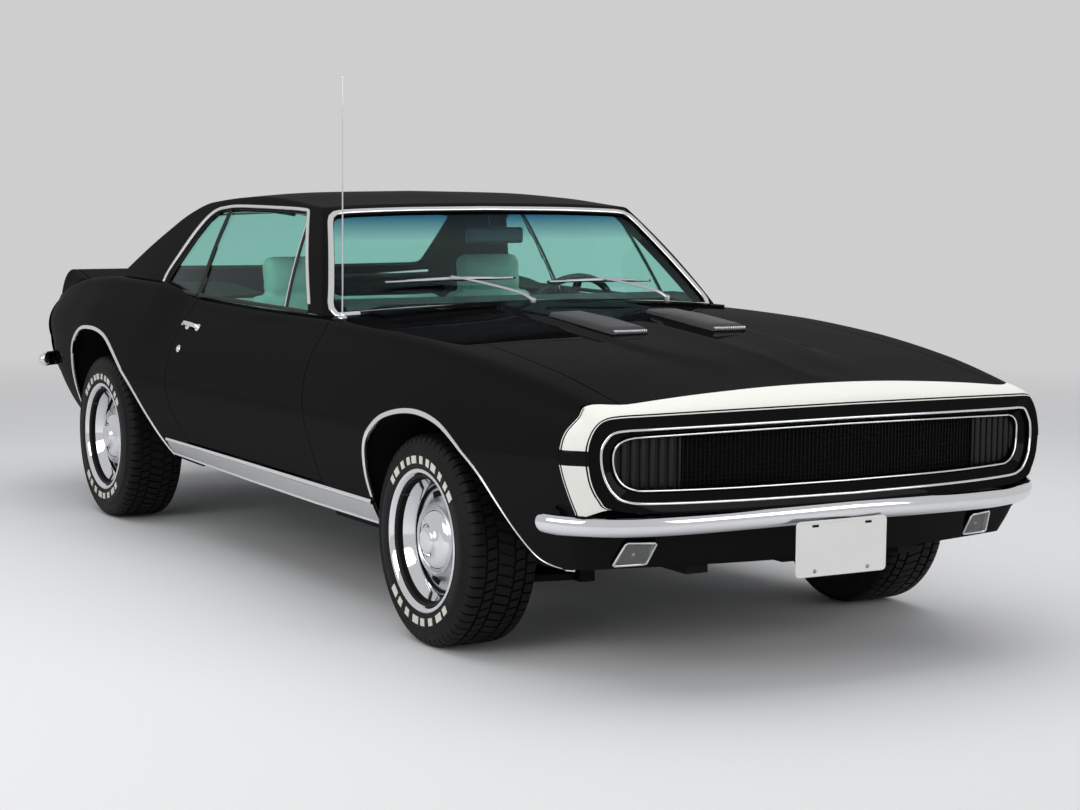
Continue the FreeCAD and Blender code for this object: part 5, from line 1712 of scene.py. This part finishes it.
@operator("side_trim", "Side trim", "Makes the wheel lips, the rocker mouldings, the handles and the locks")
def side_trim(context):
    front = arch_lip(LIP_FRONT, ((0, 17), (0.45, 15), (0.62, 9), (0.8, 5), (1, 4)), 90)
    fitted("lips_front", both(front), "bright", "fender_left", "fender_right")
    rear = arch_lip(LIP_REAR, ((0, 14), (0.3, 15), (0.7, 13), (1, 9)), 90)
    fitted("lips_rear", both(rear), "bright", "quarter_left", "quarter_right")
    stations = np.linspace(ROCKER_FRONT, ROCKER_REAR, 60)
    low = np.interp(stations, (352, 836, 1374, 2090), (302, 300, 304, 318))
    bands = {"rocker_ridge": ("bright", 0.80, 1.0, 5.5), "rocker_band": ("brushed", 0.12, 0.80, 2.4),
             "rocker_foot": ("bright", 0.0, 0.12, 4.0)}
    for name, (material, from_share, to_share, height) in bands.items():
        rows = []
        for s, z0 in zip(stations, low):
            row = []
            for k, t in enumerate(np.linspace(from_share, to_share, 9)):
                bow = math.sin(math.pi * k / 8) if material == "bright" else (0.6 if 0 < k < 8 else 0.4)
                row.append(off_side(s, z0 + (ROCKER_TOP - z0) * t, 1.5 + height * bow))
            rows.append(row)
        fitted(name, both(sheet(rows, 2.5, flip=True)), material)
    handle = door_handle()
    for side, sign in SIDES:
        fitted("handle_" + side, sided(handle, sign), "chrome", body=side + "_door", smooth=50)


# ---------------------------------------------------------------- hood vents, cowl, wipers and antenna
def vent_rise(s):
    """Height of the hood vents above their feet, which falls rearwards."""
    return 16 * float(smoothstep(-56, -40, s)) * (1 - 0.35 * float(smoothstep(120, 322, s)))


def hood_vents():
    """The two long vents with fins across their front faces and ribs along their tops."""
    shells, ribs = [], []
    edges = ((120, 0.0), (123, 0.75), (128, 1.0), (180, 1.0), (229, 1.0), (234, 0.75), (237, 0.0))
    for _, sign in SIDES:
        rows = [[(sign * x, s, top_z(x, s) + 8.6 + share * vent_rise(s)) for x, share in edges]
                for s in np.linspace(-56, 322, 20)]
        shells.append(sheet(rows, 4.0, flip=sign > 0))
        for x in np.linspace(136, 221, 11):
            path = [(sign * x, s, top_z(x, s) + 9.4 + vent_rise(s)) for s in np.linspace(-38, 316, 16)]
            ribs.append(outward(tube(np.array(path), 2.2, 6, squash=(1, 0.8))))
    fitted("vent_shells", joined(*shells), "vent", "hood_vents", body="bonnet")
    foot = top_z(180, -50) + 9
    for side, sign in SIDES:
        fin = rounded_box(sign * 126 - 1.2, sign * 126 + 1.2, -60, -38, foot, foot + 13, 0.8, 1)
        fins = repeated("vent_fins_" + side, fin, 16, (sign * 7.1 * MM, 0, 0), "bright", "bonnet", around=False)
        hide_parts("hood_vents")
    fitted("vent_ribs", joined(*ribs), "vent", "hood_vents", body="bonnet")


def cowl():
    """The painted cowl between hood and windscreen, its corners, and its row of slots as dark bars of painted shade."""
    rows = []
    for x in np.linspace(-648, 648, 61):
        base = float(np.interp(abs(x), (0, 350, 620, 700), (780, 812, 885, 925)))
        rows.append([(x, s, top_z(x, s)) for s in np.linspace(HOOD_REAR + 3, base, 9)])
    fitted("cowl_skin", sheet(rows, 8.0), "black", "cowl")
    corners = []
    for _, sign in SIDES:
        rows = [[(sign * x, s, top_z(x, s) - 0.5) for s in np.linspace(790, 960, 8)] for x in np.linspace(648, 745, 8)]
        corners.append(sheet(rows, 8.0))
    fitted("cowl_corners", joined(*corners), "black", "cowl")
    # Dark bars on the cowl: painted shade standing in for the openings of its slots.
    points, faces = rounded_box(-2.2, 2.2, 655, 684, 0, 3.2, 1.2, 1)
    for side, x in (("right", -445.0), ("left", 114.0)):
        first = points + np.array([x, 0, top_z(280, 670) - 0.6]), faces
        slots = repeated("cowl_slots_" + side, first, 42, (7.9 * MM, 0, 0), "grille", ROOT, around=False)
        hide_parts("cowl")


def wipers():
    """Two parked wipers: pivot, arm and blade carriers, and the blades."""
    arms, blades = [], []
    lean = (0, -0.5, 0.85)
    for places in (((-77, 706, 931), (-308, 856, 1010), (-66, 846, 1012), (-536, 894, 1002)),
                   ((483, 760, 926), (273, 866, 994), (490, 874, 992), (60, 852, 996))):
        p, j, a, b = np.array(places, float)
        arms.append(rod(p, p + (0, 0, 16), 10, 16))
        arms.append(dome(p + (0, 0, 15), 11, 8, (0, 0, 1)))
        path = spline([p + (0, 0, 16), p + (j - p) * 0.18 + (0, -6, 26), p + (j - p) * 0.6 + (0, -8, 22),
                       j + (0, -8, 12)], 20)
        arms.append(outward(tube(path, np.linspace(8.5, 4.2, 20), 10, squash=(1.0, 0.5), up=lean)))
        for f0, f1, lift, r in ((0.02, 0.98, 4, 2.2), (0.18, 0.82, 8, 3.0)):
            bow = spline([a + (b - a) * f0 + (0, -lift * 0.6, lift * 0.5), a + (b - a) * 0.5 + (0, -lift * 1.2, lift),
                          a + (b - a) * f1 + (0, -lift * 0.6, lift * 0.5)], 16)
            arms.append(outward(tube(bow, r, 8, squash=(1.6, 0.8), up=lean)))
        blades.append(outward(tube(np.array([a, (a + b) / 2, b]), 2.6, 8, squash=(0.7, 1.8), up=lean)))
    fitted("wiper_arms", joined(*arms), "silver", "wipers", smooth=50)
    fitted("wiper_blades", joined(*blades), "seal", "wipers", smooth=50)


def antenna():
    """A foot on the right wing and a mast in three steps."""
    base = np.array([-735, 772, top_z(735, 772)])
    tip = np.array([-735, 772, 1660])
    parts = [dome(base - (0, 0, 1), 16, 10, (0, 0, 1), 5, 24), dome(base + (0, 0, 8), 9, 12, (0, 0, 1), 5, 20),
             rod(base + (0, 0, 16), base + (0, 0, 60), 3.4), rod(base + (0, 0, 58), base + (0, 0, 420), 2.4, 10),
             rod(base + (0, 0, 418), tip, 1.7, 10), dome(tip - (0, 0, 3), 3.0, 5, (0, 0, 1))]
    fitted("antenna_mast", joined(*parts), "chrome", "antenna", smooth=60)


@operator("topside", "Topside", "Makes the hood vents, the cowl, the wipers and the antenna")
def topside(context):
    hood_vents()
    cowl()
    wipers()
    antenna()


# ---------------------------------------------------------------- wheelhouses, cabin and tail
def inside_arch(which, factor):
    """Positive inside a wheel arch scaled about its middle."""
    outside = outside_arch(which)
    cx, cz = ARCH_CENTRES[which]
    return lambda x, s, z: -outside(x, cx + (s - cx) / factor, cz + (z - cz) / factor)


LINERS = {"front": (464.0, 190.0, 498.0, (-700.0, 620.0)), "rear": (560.0, 90.0, 408.0, (2010.0, 3390.0))}
LINER_GROWTH = 1.065


def wheelhouse(which):
    """The black housing over a left wheel: an arched sheet and its inner wall, open where the axle passes."""
    inner_x, window_half, window_top, (s0, s1) = LINERS[which]
    cx, cz = ARCH_CENTRES[which]
    curve = [(cx + (s - cx) * LINER_GROWTH, cz + (z - cz) * LINER_GROWTH) for s, z in arch_curve(which, 70)]
    curve = [q for q in curve if q[1] > 300 and s0 < q[0] < s1]
    rows = []
    for s, z in curve:
        outer_x = min(872.0, surface_point(s, z) - 14)
        rows.append([(x, s, z) for x in np.linspace(inner_x, outer_x, 6)])
    stations = np.arange(s0, s1, 22.0)
    heights = np.arange(302.0, 800.0, 22.0)
    flat = np.array([(inner_x, s, z) for s in stations for z in heights])
    middle = 0.0 if which == "front" else WHEELBASE

    def outside_window(x, s, z):
        return np.maximum(np.abs(s - middle) - window_half, z - window_top)

    wall = clipped(flat, grid_faces(len(stations), len(heights)), inside_arch(which, LINER_GROWTH), outside_window)
    return joined(sheet(rows, 3.0), outward(walled(*wall, 3.0)))


@operator("wheelhouses", "Wheelhouses", "Makes the black housings over the four wheels")
def wheelhouses(context):
    for which, nodes in (("front", ("fender_left", "fender_right")), ("rear", ("quarter_left", "quarter_right"))):
        fitted("wheelhouses_" + which, both(wheelhouse(which)), "liner", *nodes)


def slab(outline, inner_x, outer):
    """A (station, height) outline made solid from a flat inner face to an outer half-width given by a function."""
    return lofted([[(inner_x, s, z) for s, z in outline], [(outer(s, z), s, z) for s, z in outline]])


@operator("linings", "Linings", "Makes the door and side linings, the headliner, the carpet and the firewall")
def linings(context):
    heights = np.linspace(402, 876, 14)
    front_cut = [(float(line_station(DOOR_FRONT, z)) + 14, z) for z in heights]
    rear_cut = [(float(line_station(DOOR_REAR, z)) - DOOR_DRAFT * (HINGE_X - 738) - 14, z) for z in heights]
    inner = slab(front_cut + rear_cut[::-1], 738.0, lambda s, z: surface_point(s, z) - 9.5)
    card = joined(rounded_box(727, 739, 800, 1800, 440, 868, 5, 3), rounded_box(668, 730, 1240, 1560, 596, 640, 18, 4))
    pull = outward(tube(spline([(728, 1330, 700), (706, 1345, 700), (706, 1455, 700), (728, 1470, 700)], 16), 6, 8))
    outline = [(1965, 500), (1990, 880), (2545, 880), (2545, 780), (2380, 690), (2180, 520)]
    wall = slab(outline, 733.0, lambda s, z: 738.0)
    for side, sign in SIDES:
        for name, part, material, smooth in (("door_inner_", inner, "black", 30), ("door_lining_", card, "dash", 40),
                                             ("door_pull_", pull, "chrome", 50)):
            fitted(name + side, sided(part, sign), material, "door_" + side, body=side + "_door", smooth=smooth)
        fitted("side_lining_" + side, sided(wall, sign), "dash", "quarter_" + side)
    grid = roof_grid(1262.0, 2330.0, 40.0)
    lining = merged(*both(clipped(*grid, z_above(1196), x_below(560))))
    points = lining[0] - vertex_normals(*lining) * 20.0
    fitted("headliner", walled(points, lining[1], 3.0), "headliner", "roof", smooth=60)
    rows = [[(x, s, max(305.5, 290 + math.sqrt(max(0.0, 154.0**2 - x * x)))) for x in np.linspace(-706, 706, 61)]
            for s in (676, 900, 1300, 1700, 2100)]
    fitted("carpet", sheet(rows, 2.5), "carpet", "floor_pan", smooth=60)
    fitted("firewall", rounded_box(-640, 640, 660, 671, 446, 862, 3, 2), "under", "cowl")


CUSHION_CELL, CUSHION_PRESSURE, CUSHION_FRAMES = 0.011, 4.0, 20
SEAM_PITCH = 52


def puffed(name, part, material, cap):
    """A closed form blown up a little by cloth, with its movement capped."""
    obj = make_mesh(name, *part, material, None, 180)
    scene = bpy.context.scene
    remesh = obj.modifiers.new("remesh", "REMESH")
    remesh.mode = "VOXEL"
    remesh.voxel_size = CUSHION_CELL
    mesh = seen_mesh(obj)
    obj.modifiers.remove(remesh)
    obj.data = mesh
    start = np.array([v.co for v in mesh.vertices])
    cloth = obj.modifiers.new("cloth", "CLOTH")
    cloth.settings.use_pressure = True
    cloth.settings.uniform_pressure_force = CUSHION_PRESSURE
    cloth.settings.effector_weights.gravity = 0.0
    for number in range(CUSHION_FRAMES):
        scene.frame_set(number + 1)
    blown = bpy.data.meshes.new_from_object(obj.evaluated_get(bpy.context.evaluated_depsgraph_get()))
    obj.modifiers.remove(cloth)
    scene.frame_set(1)
    move = np.array([v.co for v in blown.vertices]) - start
    length = np.linalg.norm(move, axis=1)
    move *= np.minimum(1.0, cap * MM / np.maximum(length, 1e-9))[:, None]
    mesh.vertices.foreach_set("co", (start + move).astype(np.float32).ravel())
    bpy.data.meshes.remove(blown)
    smooth = obj.modifiers.new("smooth", "SUBSURF")
    smooth.levels = smooth.render_levels = 1
    fine = seen_mesh(obj)
    obj.modifiers.remove(smooth)
    obj.data = fine
    shade(fine, 180)
    return obj


def sewn(obj, lines, half_width=7.0, depth=4.0):
    """Presses sewn channels into a cushion: each line is a function of (x, s, z) that is zero along the seam."""
    mesh = obj.data
    p = np.array([v.co for v in mesh.vertices]) / MM
    p[:, 1] -= FRONT_AXLE_Y / MM
    n = np.array([v.normal for v in mesh.vertices])
    press = np.zeros(len(p))
    for distance in lines:
        press = np.maximum(press, np.exp(-(distance(*p.T) / half_width) ** 2))
    moved = p - n * (press * depth)[:, None]
    mesh.vertices.foreach_set("co", place(moved).astype(np.float32).ravel())
    mesh.update()


def tilted(part, angle, station, height):
    """A part turned rearwards about an axis across the car."""
    p = part[0].copy()
    c, s = math.cos(math.radians(angle)), math.sin(math.radians(angle))
    ds, dz = p[:, 1] - station, p[:, 2] - height
    p[:, 1] = station + ds * c + dz * s
    p[:, 2] = height - ds * s + dz * c
    return p, part[1]


def tapered(part, low, high, low_scale, high_scale, middle_x):
    """A part whose width changes with its height."""
    p = part[0].copy()
    t = np.clip((p[:, 2] - low) / (high - low), 0, 1)
    p[:, 0] = middle_x + (p[:, 0] - middle_x) * (low_scale + (high_scale - low_scale) * t)
    return p, part[1]


SEAT_TILT = 6.0
NO_SEAM = 100.0


def flutes(along, inside):
    """Distance to evenly spaced seams inside a region."""
    return np.where(inside, (along + SEAM_PITCH / 2) % SEAM_PITCH - SEAM_PITCH / 2, NO_SEAM)


@operator("seats", "Seats", "Makes the front seats with their head rests and the rear bench")
def seats(context):
    base = rounded_box(168, 632, 1308, 1806, 382, 500, 44, 5)
    back = tapered(rounded_box(172, 628, 1778, 1888, 440, 914, 44, 5), 440, 914, 1.0, 0.84, 400)
    rest = tapered(rounded_box(250, 546, 1786, 1864, 906, 1064, 38, 5), 906, 1064, 1.0, 0.88, 398)
    upper = tilted(joined(back, rest), SEAT_TILT, 1850, 420)

    def piping(x, inside):
        return np.where(inside, np.abs(np.abs(np.abs(x) - 400) - 160), NO_SEAM)

    def middle(x):
        return np.abs(np.abs(x) - 400) < 150

    def cushion_piping(x, s, z):
        return piping(x, (z > 470) & (s < 1810))

    def cushion_flutes(x, s, z):
        return flutes(s, middle(x) & (z > 480) & (s < 1780))

    def back_piping(x, s, z):
        return piping(x, (z > 470) & (z < 880))

    def back_flutes(x, s, z):
        front = s < 1850 + (z - 420) * math.tan(math.radians(SEAT_TILT))
        return flutes(z, middle(x) & front & (z > 520) & (z < 860))

    for name, part, seams in (("seat_cushion", base, (cushion_piping, cushion_flutes)),
                              ("seat_back", upper, (back_piping, back_flutes))):
        left = puffed(name + "_left", part, "mint", 16)
        sewn(left, seams)
        right = left.copy()
        right.data = left.data.copy()
        right.name = right.data.name = name + "_right"
        bpy.context.scene.collection.objects.link(right)
        flip = np.array([v.co for v in right.data.vertices])
        flip[:, 0] *= -1
        right.data.vertices.foreach_set("co", flip.astype(np.float32).ravel())
        right.data.flip_normals()
        for obj in (left, right):
            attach(obj, ROOT)
            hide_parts("front_seats")
    stands = rounded_box(206, 594, 1386, 1754, 304, 392, 10, 2)
    sides = rounded_box(150, 166, 1420, 1700, 400, 436, 6, 2)
    fitted("seat_stands", joined(stands, mirrored(*stands), sides, mirrored(*sides)), "dash", "front_seats")

    def bench_flutes(x, s, z):
        return flutes(x, (np.abs(np.abs(x) - 290) < 190) & (z > 470) & (s < 2440))

    def rest_flutes(x, s, z):
        return flutes(x, (np.abs(np.abs(x) - 290) < 190) & (s < 2500) & (z > 540) & (z < 830))

    for name, part, seams in (("bench_cushion", rounded_box(-535, 535, 2180, 2470, 374, 488, 42, 5), bench_flutes),
                              ("bench_back", rounded_box(-535, 535, 2478, 2576, 440, 868, 40, 5), rest_flutes)):
        obj = puffed(name, part, "mint", 10)
        sewn(obj, (seams,))
        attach(obj, ROOT)
        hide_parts("rear_seat")


@operator("cabin_fittings", "Cabin fittings", "Makes the interior mirror and the dashboard's trim and pad")
def cabin_fittings(context):
    fitted("mirror_housing", rounded_box(-46, 180, 1222, 1244, 1112, 1168, 11, 4), "mirror_back", "windshield")
    fitted("mirror_glass", rounded_box(-40, 174, 1243, 1246, 1117, 1163, 1.4, 2), "mirror", "windshield")
    stem = outward(tube(spline([(67, 1240, 1150), (66, 1258, 1185), (64, 1282, 1232)], 12), 5, 10, up=(1, 0, 0)))
    fitted("mirror_stem", joined(stem, dome((67, 1236, 1150), 11, 9, (0, 1, 0))), "chrome", "windshield", smooth=50)
    trim = outward(tube(np.array([(x, 1052, 842) for x in np.linspace(-660, 660, 30)]), 4, 8, up=(0, 1, 0)))
    fitted("dash_strip", trim, "brushed", "dashboard", smooth=50)
    profile = ((850, 926), (930, 938), (1000, 938), (1046, 926), (1070, 896), (1064, 856))
    rows = [[(x, s, min(z, screen_height(x, s) - 24)) for s, z in profile] for x in np.linspace(-668, 668, 50)]
    fitted("dash_pad", sheet(rows, 6.0), "dash", "dashboard", smooth=60)


SPOILER_ROWS = ((3566, 0), (3575, 893), (3610, 900), (3665, 911), (3715, 921), (3736, 925), (3743, 922), (3746, 915),
                (3738, 906), (3715, 886), (3692, 866))


def spoiler_part(x0, x1, count, shrink_from=None):
    """The rear spoiler between two half-widths; past shrink_from it runs down into the body."""
    front = SPOILER_ROWS[0][0]
    rows = []
    for x in np.linspace(x0, x1, count):
        row = []
        for s, z in SPOILER_ROWS:
            ground = top_z(x, min(s, 3690)) - 2
            t = 0.0 if shrink_from is None else min(1.0, max(0.0, (abs(x) - shrink_from) / (abs(x1) - shrink_from)))
            height = ground if z == 0 else ground + (z - ground) * (1 - t * t)
            row.append((x, front + (s - front) * (1 - 0.25 * t * t), height))
        row.append((x, 3666, top_z(x, 3666) + (7 if shrink_from is None else -2)))
        row.append((x, 3650, top_z(x, 3650) - 2))
        rows.append(row)
    return lofted(rows)


@operator("tail", "Tail", "Makes the spoiler, the tail lamps and the filler cap")
def tail(context):
    fitted("spoiler_blade", spoiler_part(-607, 607, 61), "black", "spoiler", body="boot_lid", smooth=35)
    end = spoiler_part(612, 694, 14, 630)
    fitted("spoiler_ends", both(end), "black", "quarter_left", "quarter_right", smooth=35)
    bezels, lenses, bars = [], [], []
    corners = ((334, 644), (596, 644), (596, 731), (334, 731))
    for _, sign in SIDES:
        loop = [(sign * (ax + (bx - ax) * t), 3694, az + (bz - az) * t)
                for (ax, az), (bx, bz) in zip(corners, corners[1:] + corners[:1]) for t in (0.05, 0.3, 0.7, 0.95)]
        bezels.append(outward(tube(np.array(loop), 6.0, 8, closed=True, up=(0, 1, 0))))
        x0, x1 = sorted((sign * 338, sign * 592))
        lenses.append(outward(rounded_box(x0, x1, 3688, 3699, 648, 727, 4, 3)))
        for z in np.linspace(662, 713, 5):
            bars.append(outward(tube(np.array([(x, 3699, z) for x in np.linspace(x0 + 6, x1 - 6, 6)]), 1.4, 6)))
        middle = sign * 465
        bars.append(outward(rounded_box(middle - 3, middle + 3, 3690, 3701, 649, 726, 2, 2)))
    fitted("tail_bezels", joined(*bezels), "chrome", "rear_lamps", smooth=50)
    fitted("tail_lenses", joined(*lenses), "red", "rear_lamps")
    fitted("tail_bars", joined(*bars), "bright", "rear_lamps")
    cap = joined(dome((0, 3690, 688), 44, 8, (0, 1, 0), 5, 40), dome((0, 3697, 688), 20, 6, (0, 1, 0), 4, 28))
    fitted("filler_cap", cap, "chrome", smooth=50)


CAD_FINISHES = {"floor_pan": "under", "front_subframe": "under", "engine_block": "iron", "driveline": "iron",
                "rear_axle": "iron", "exhaust": "steel", "fuel_tank": "steel", "knuckle_left": "iron",
                "knuckle_right": "iron", "dashboard": "dash", "steering_wheel": "dash", "tail_panel": "black"}


@operator("cad_finishes", "Finishes", "Gives the pieces that keep their own shape their finish")
def cad_finishes(context):
    for node, key in CAD_FINISHES.items():
        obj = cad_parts[node]
        obj.data.materials.clear()
        obj.data.materials.append(MATERIALS[key])


SKY_COLOUR, SKY_STRENGTH = (0.80, 0.82, 0.85, 1.0), 0.55
SWEEP_YAW = 30.0                            # degrees
CAMERA_ANGLES = (30.09, 6.02, 0.49)         # yaw, downward pitch and roll in degrees
CAMERA_PLACE = (-3.7587, -5.6987, 1.3777)   # metres from the front axle's middle on the ground
CAMERA_LENS = 74.936667                     # mm


@operator("studio", "Studio", "Makes the floor, the lights and the camera")
def studio(context):
    scene = context.scene
    look = scene.hardtop_studio
    floor = Shader("studio_floor")
    reach = floor.node("ShaderNodeVectorMath", {"operation": "LENGTH"}, {0: floor.coords()}, 1)
    far = ((reach - look.shadow_reach) / 5.0).clamp()
    path = floor.tree.nodes.new("ShaderNodeLightPath")
    seen = Socket(floor, path.outputs["Is Camera Ray"]) + Socket(floor, path.outputs["Is Glossy Ray"])
    seen = (seen + Socket(floor, path.outputs["Is Transmission Ray"])).clamp()
    ground = floor.principled(Base_Color=tuple(look.floor_colour), Roughness=0.75)
    pale = floor.node("ShaderNodeEmission", {}, {"Color": tuple(look.backdrop_colour), "Strength": 1.0})
    floor.surface(floor.node("ShaderNodeMixShader", {}, {0: far * seen, 1: ground, 2: pale}))
    start, radius, run, rise, width = -14.0, 2.5, 9.0, 9.0, 34.0
    profile = [(start, 0.0), (run, 0.0)]
    profile += [(run + radius * math.sin(a), radius - radius * math.cos(a)) for a in np.linspace(0.1, math.pi / 2, 16)]
    profile += [(run + radius, rise)]
    yaw = math.radians(SWEEP_YAW)
    ahead = Vector((math.sin(yaw), math.cos(yaw), 0.0))
    right = Vector((math.cos(yaw), -math.sin(yaw), 0.0))
    points = [tuple(ahead * along + right * side + Vector((0, 0, up)))
              for along, up in profile for side in (-width / 2, width / 2)]
    MATERIALS["floor"] = floor.material
    sweep = make_mesh("studio_sweep", points, grid_faces(len(profile), 2), "floor", None, 180, in_place=True)

    world = bpy.data.worlds.new("studio_world")
    scene.world = world
    world.use_nodes = True
    tree = world.node_tree
    light = tree.nodes["Background"]
    light.inputs[0].default_value = SKY_COLOUR
    light.inputs[1].default_value = SKY_STRENGTH
    beyond = tree.nodes.new("ShaderNodeBackground")
    beyond.inputs[0].default_value = (*look.backdrop_colour, 1.0)
    mix = tree.nodes.new("ShaderNodeMixShader")
    rays = tree.nodes.new("ShaderNodeLightPath").outputs
    factor = rays["Is Camera Ray"]
    for kind in ("Is Glossy Ray", "Is Transmission Ray"):
        both_rays = tree.nodes.new("ShaderNodeMath")
        both_rays.operation = "MAXIMUM"
        tree.links.new(factor, both_rays.inputs[0])
        tree.links.new(rays[kind], both_rays.inputs[1])
        factor = both_rays.outputs[0]
    tree.links.new(factor, mix.inputs[0])
    tree.links.new(light.outputs[0], mix.inputs[1])
    tree.links.new(beyond.outputs[0], mix.inputs[2])
    tree.links.new(mix.outputs[0], tree.nodes["World Output"].inputs[0])

    def lamp(name, at, target, size, power, in_reflections=True):
        data = bpy.data.lights.new(name, "AREA")
        data.shape = "RECTANGLE"
        data.size, data.size_y = size
        data.energy = power
        obj = bpy.data.objects.new(name, data)
        obj.location = at
        obj.rotation_euler = (Vector(target) - Vector(at)).to_track_quat("-Z", "Y").to_euler()
        obj.visible_glossy = in_reflections
        scene.collection.objects.link(obj)

    lamp("top_box", (-0.3, 0.2, 5.0), (-0.3, 0.0, 0.0), (8.0, 5.0), 225, False)
    lamp("near_box", (-6.0, -3.4, 3.6), (0.0, -0.2, 0.6), (5.0, 3.0), 140)
    lamp("front_box", (3.0, -8.0, 3.4), (0.0, -1.0, 0.5), (6.0, 3.4), 150)

    camera = bpy.data.cameras.new("studio_camera")
    camera.sensor_width = 36.0
    camera.lens = CAMERA_LENS
    camera.clip_end = 100.0
    obj = bpy.data.objects.new("studio_camera", camera)
    scene.collection.objects.link(obj)
    yaw, pitch, roll = (math.radians(angle) for angle in CAMERA_ANGLES)
    view = Vector((math.sin(yaw) * math.cos(pitch), math.cos(yaw) * math.cos(pitch), -math.sin(pitch)))
    side = view.cross(Vector((0, 0, 1))).normalized()
    up = side.cross(view)
    across = side * math.cos(roll) + up * math.sin(roll)
    high = up * math.cos(roll) - side * math.sin(roll)
    turn = Matrix((across, high, -view)).transposed().to_4x4()
    obj.matrix_world = Matrix.Translation(Vector((0, FRONT_AXLE_Y, 0)) + Vector(CAMERA_PLACE)) @ turn
    scene.camera = obj
    scene.view_settings.view_transform = "Standard"


class HARDTOP_PT_panel(bpy.types.Panel):
    bl_label = "Hardtop"
    bl_idname = "HARDTOP_PT_panel"
    bl_space_type = "VIEW_3D"
    bl_region_type = "UI"
    bl_category = "Hardtop"

    def draw(self, context):
        for made in OPERATORS:
            self.layout.operator(made.bl_idname)
        self.layout.prop(context.scene.hardtop_look, "paint_colour")
        self.layout.prop(context.scene.hardtop_look, "band_colour")
        self.layout.prop(context.scene.hardtop_studio, "floor_colour")


CLASSES = [HardtopLook, HardtopStudio, HARDTOP_PT_panel]


def register():
    """Adds the operators, the settings and the sidebar panel."""
    for made in CLASSES + OPERATORS:
        bpy.utils.register_class(made)
    bpy.types.Scene.hardtop_look = PointerProperty(type=HardtopLook)
    bpy.types.Scene.hardtop_studio = PointerProperty(type=HardtopStudio)


def unregister():
    """Takes them away again."""
    del bpy.types.Scene.hardtop_look
    del bpy.types.Scene.hardtop_studio
    for made in reversed(CLASSES + OPERATORS):
        bpy.utils.unregister_class(made)


def main():
    """Builds the scene by running every operator in turn."""
    register()
    make_materials(bpy.context.scene.hardtop_look)
    for made in OPERATORS:
        getattr(bpy.ops.hardtop, made.bl_idname.split(".")[1])()


if __name__ == "__main__":
    main()
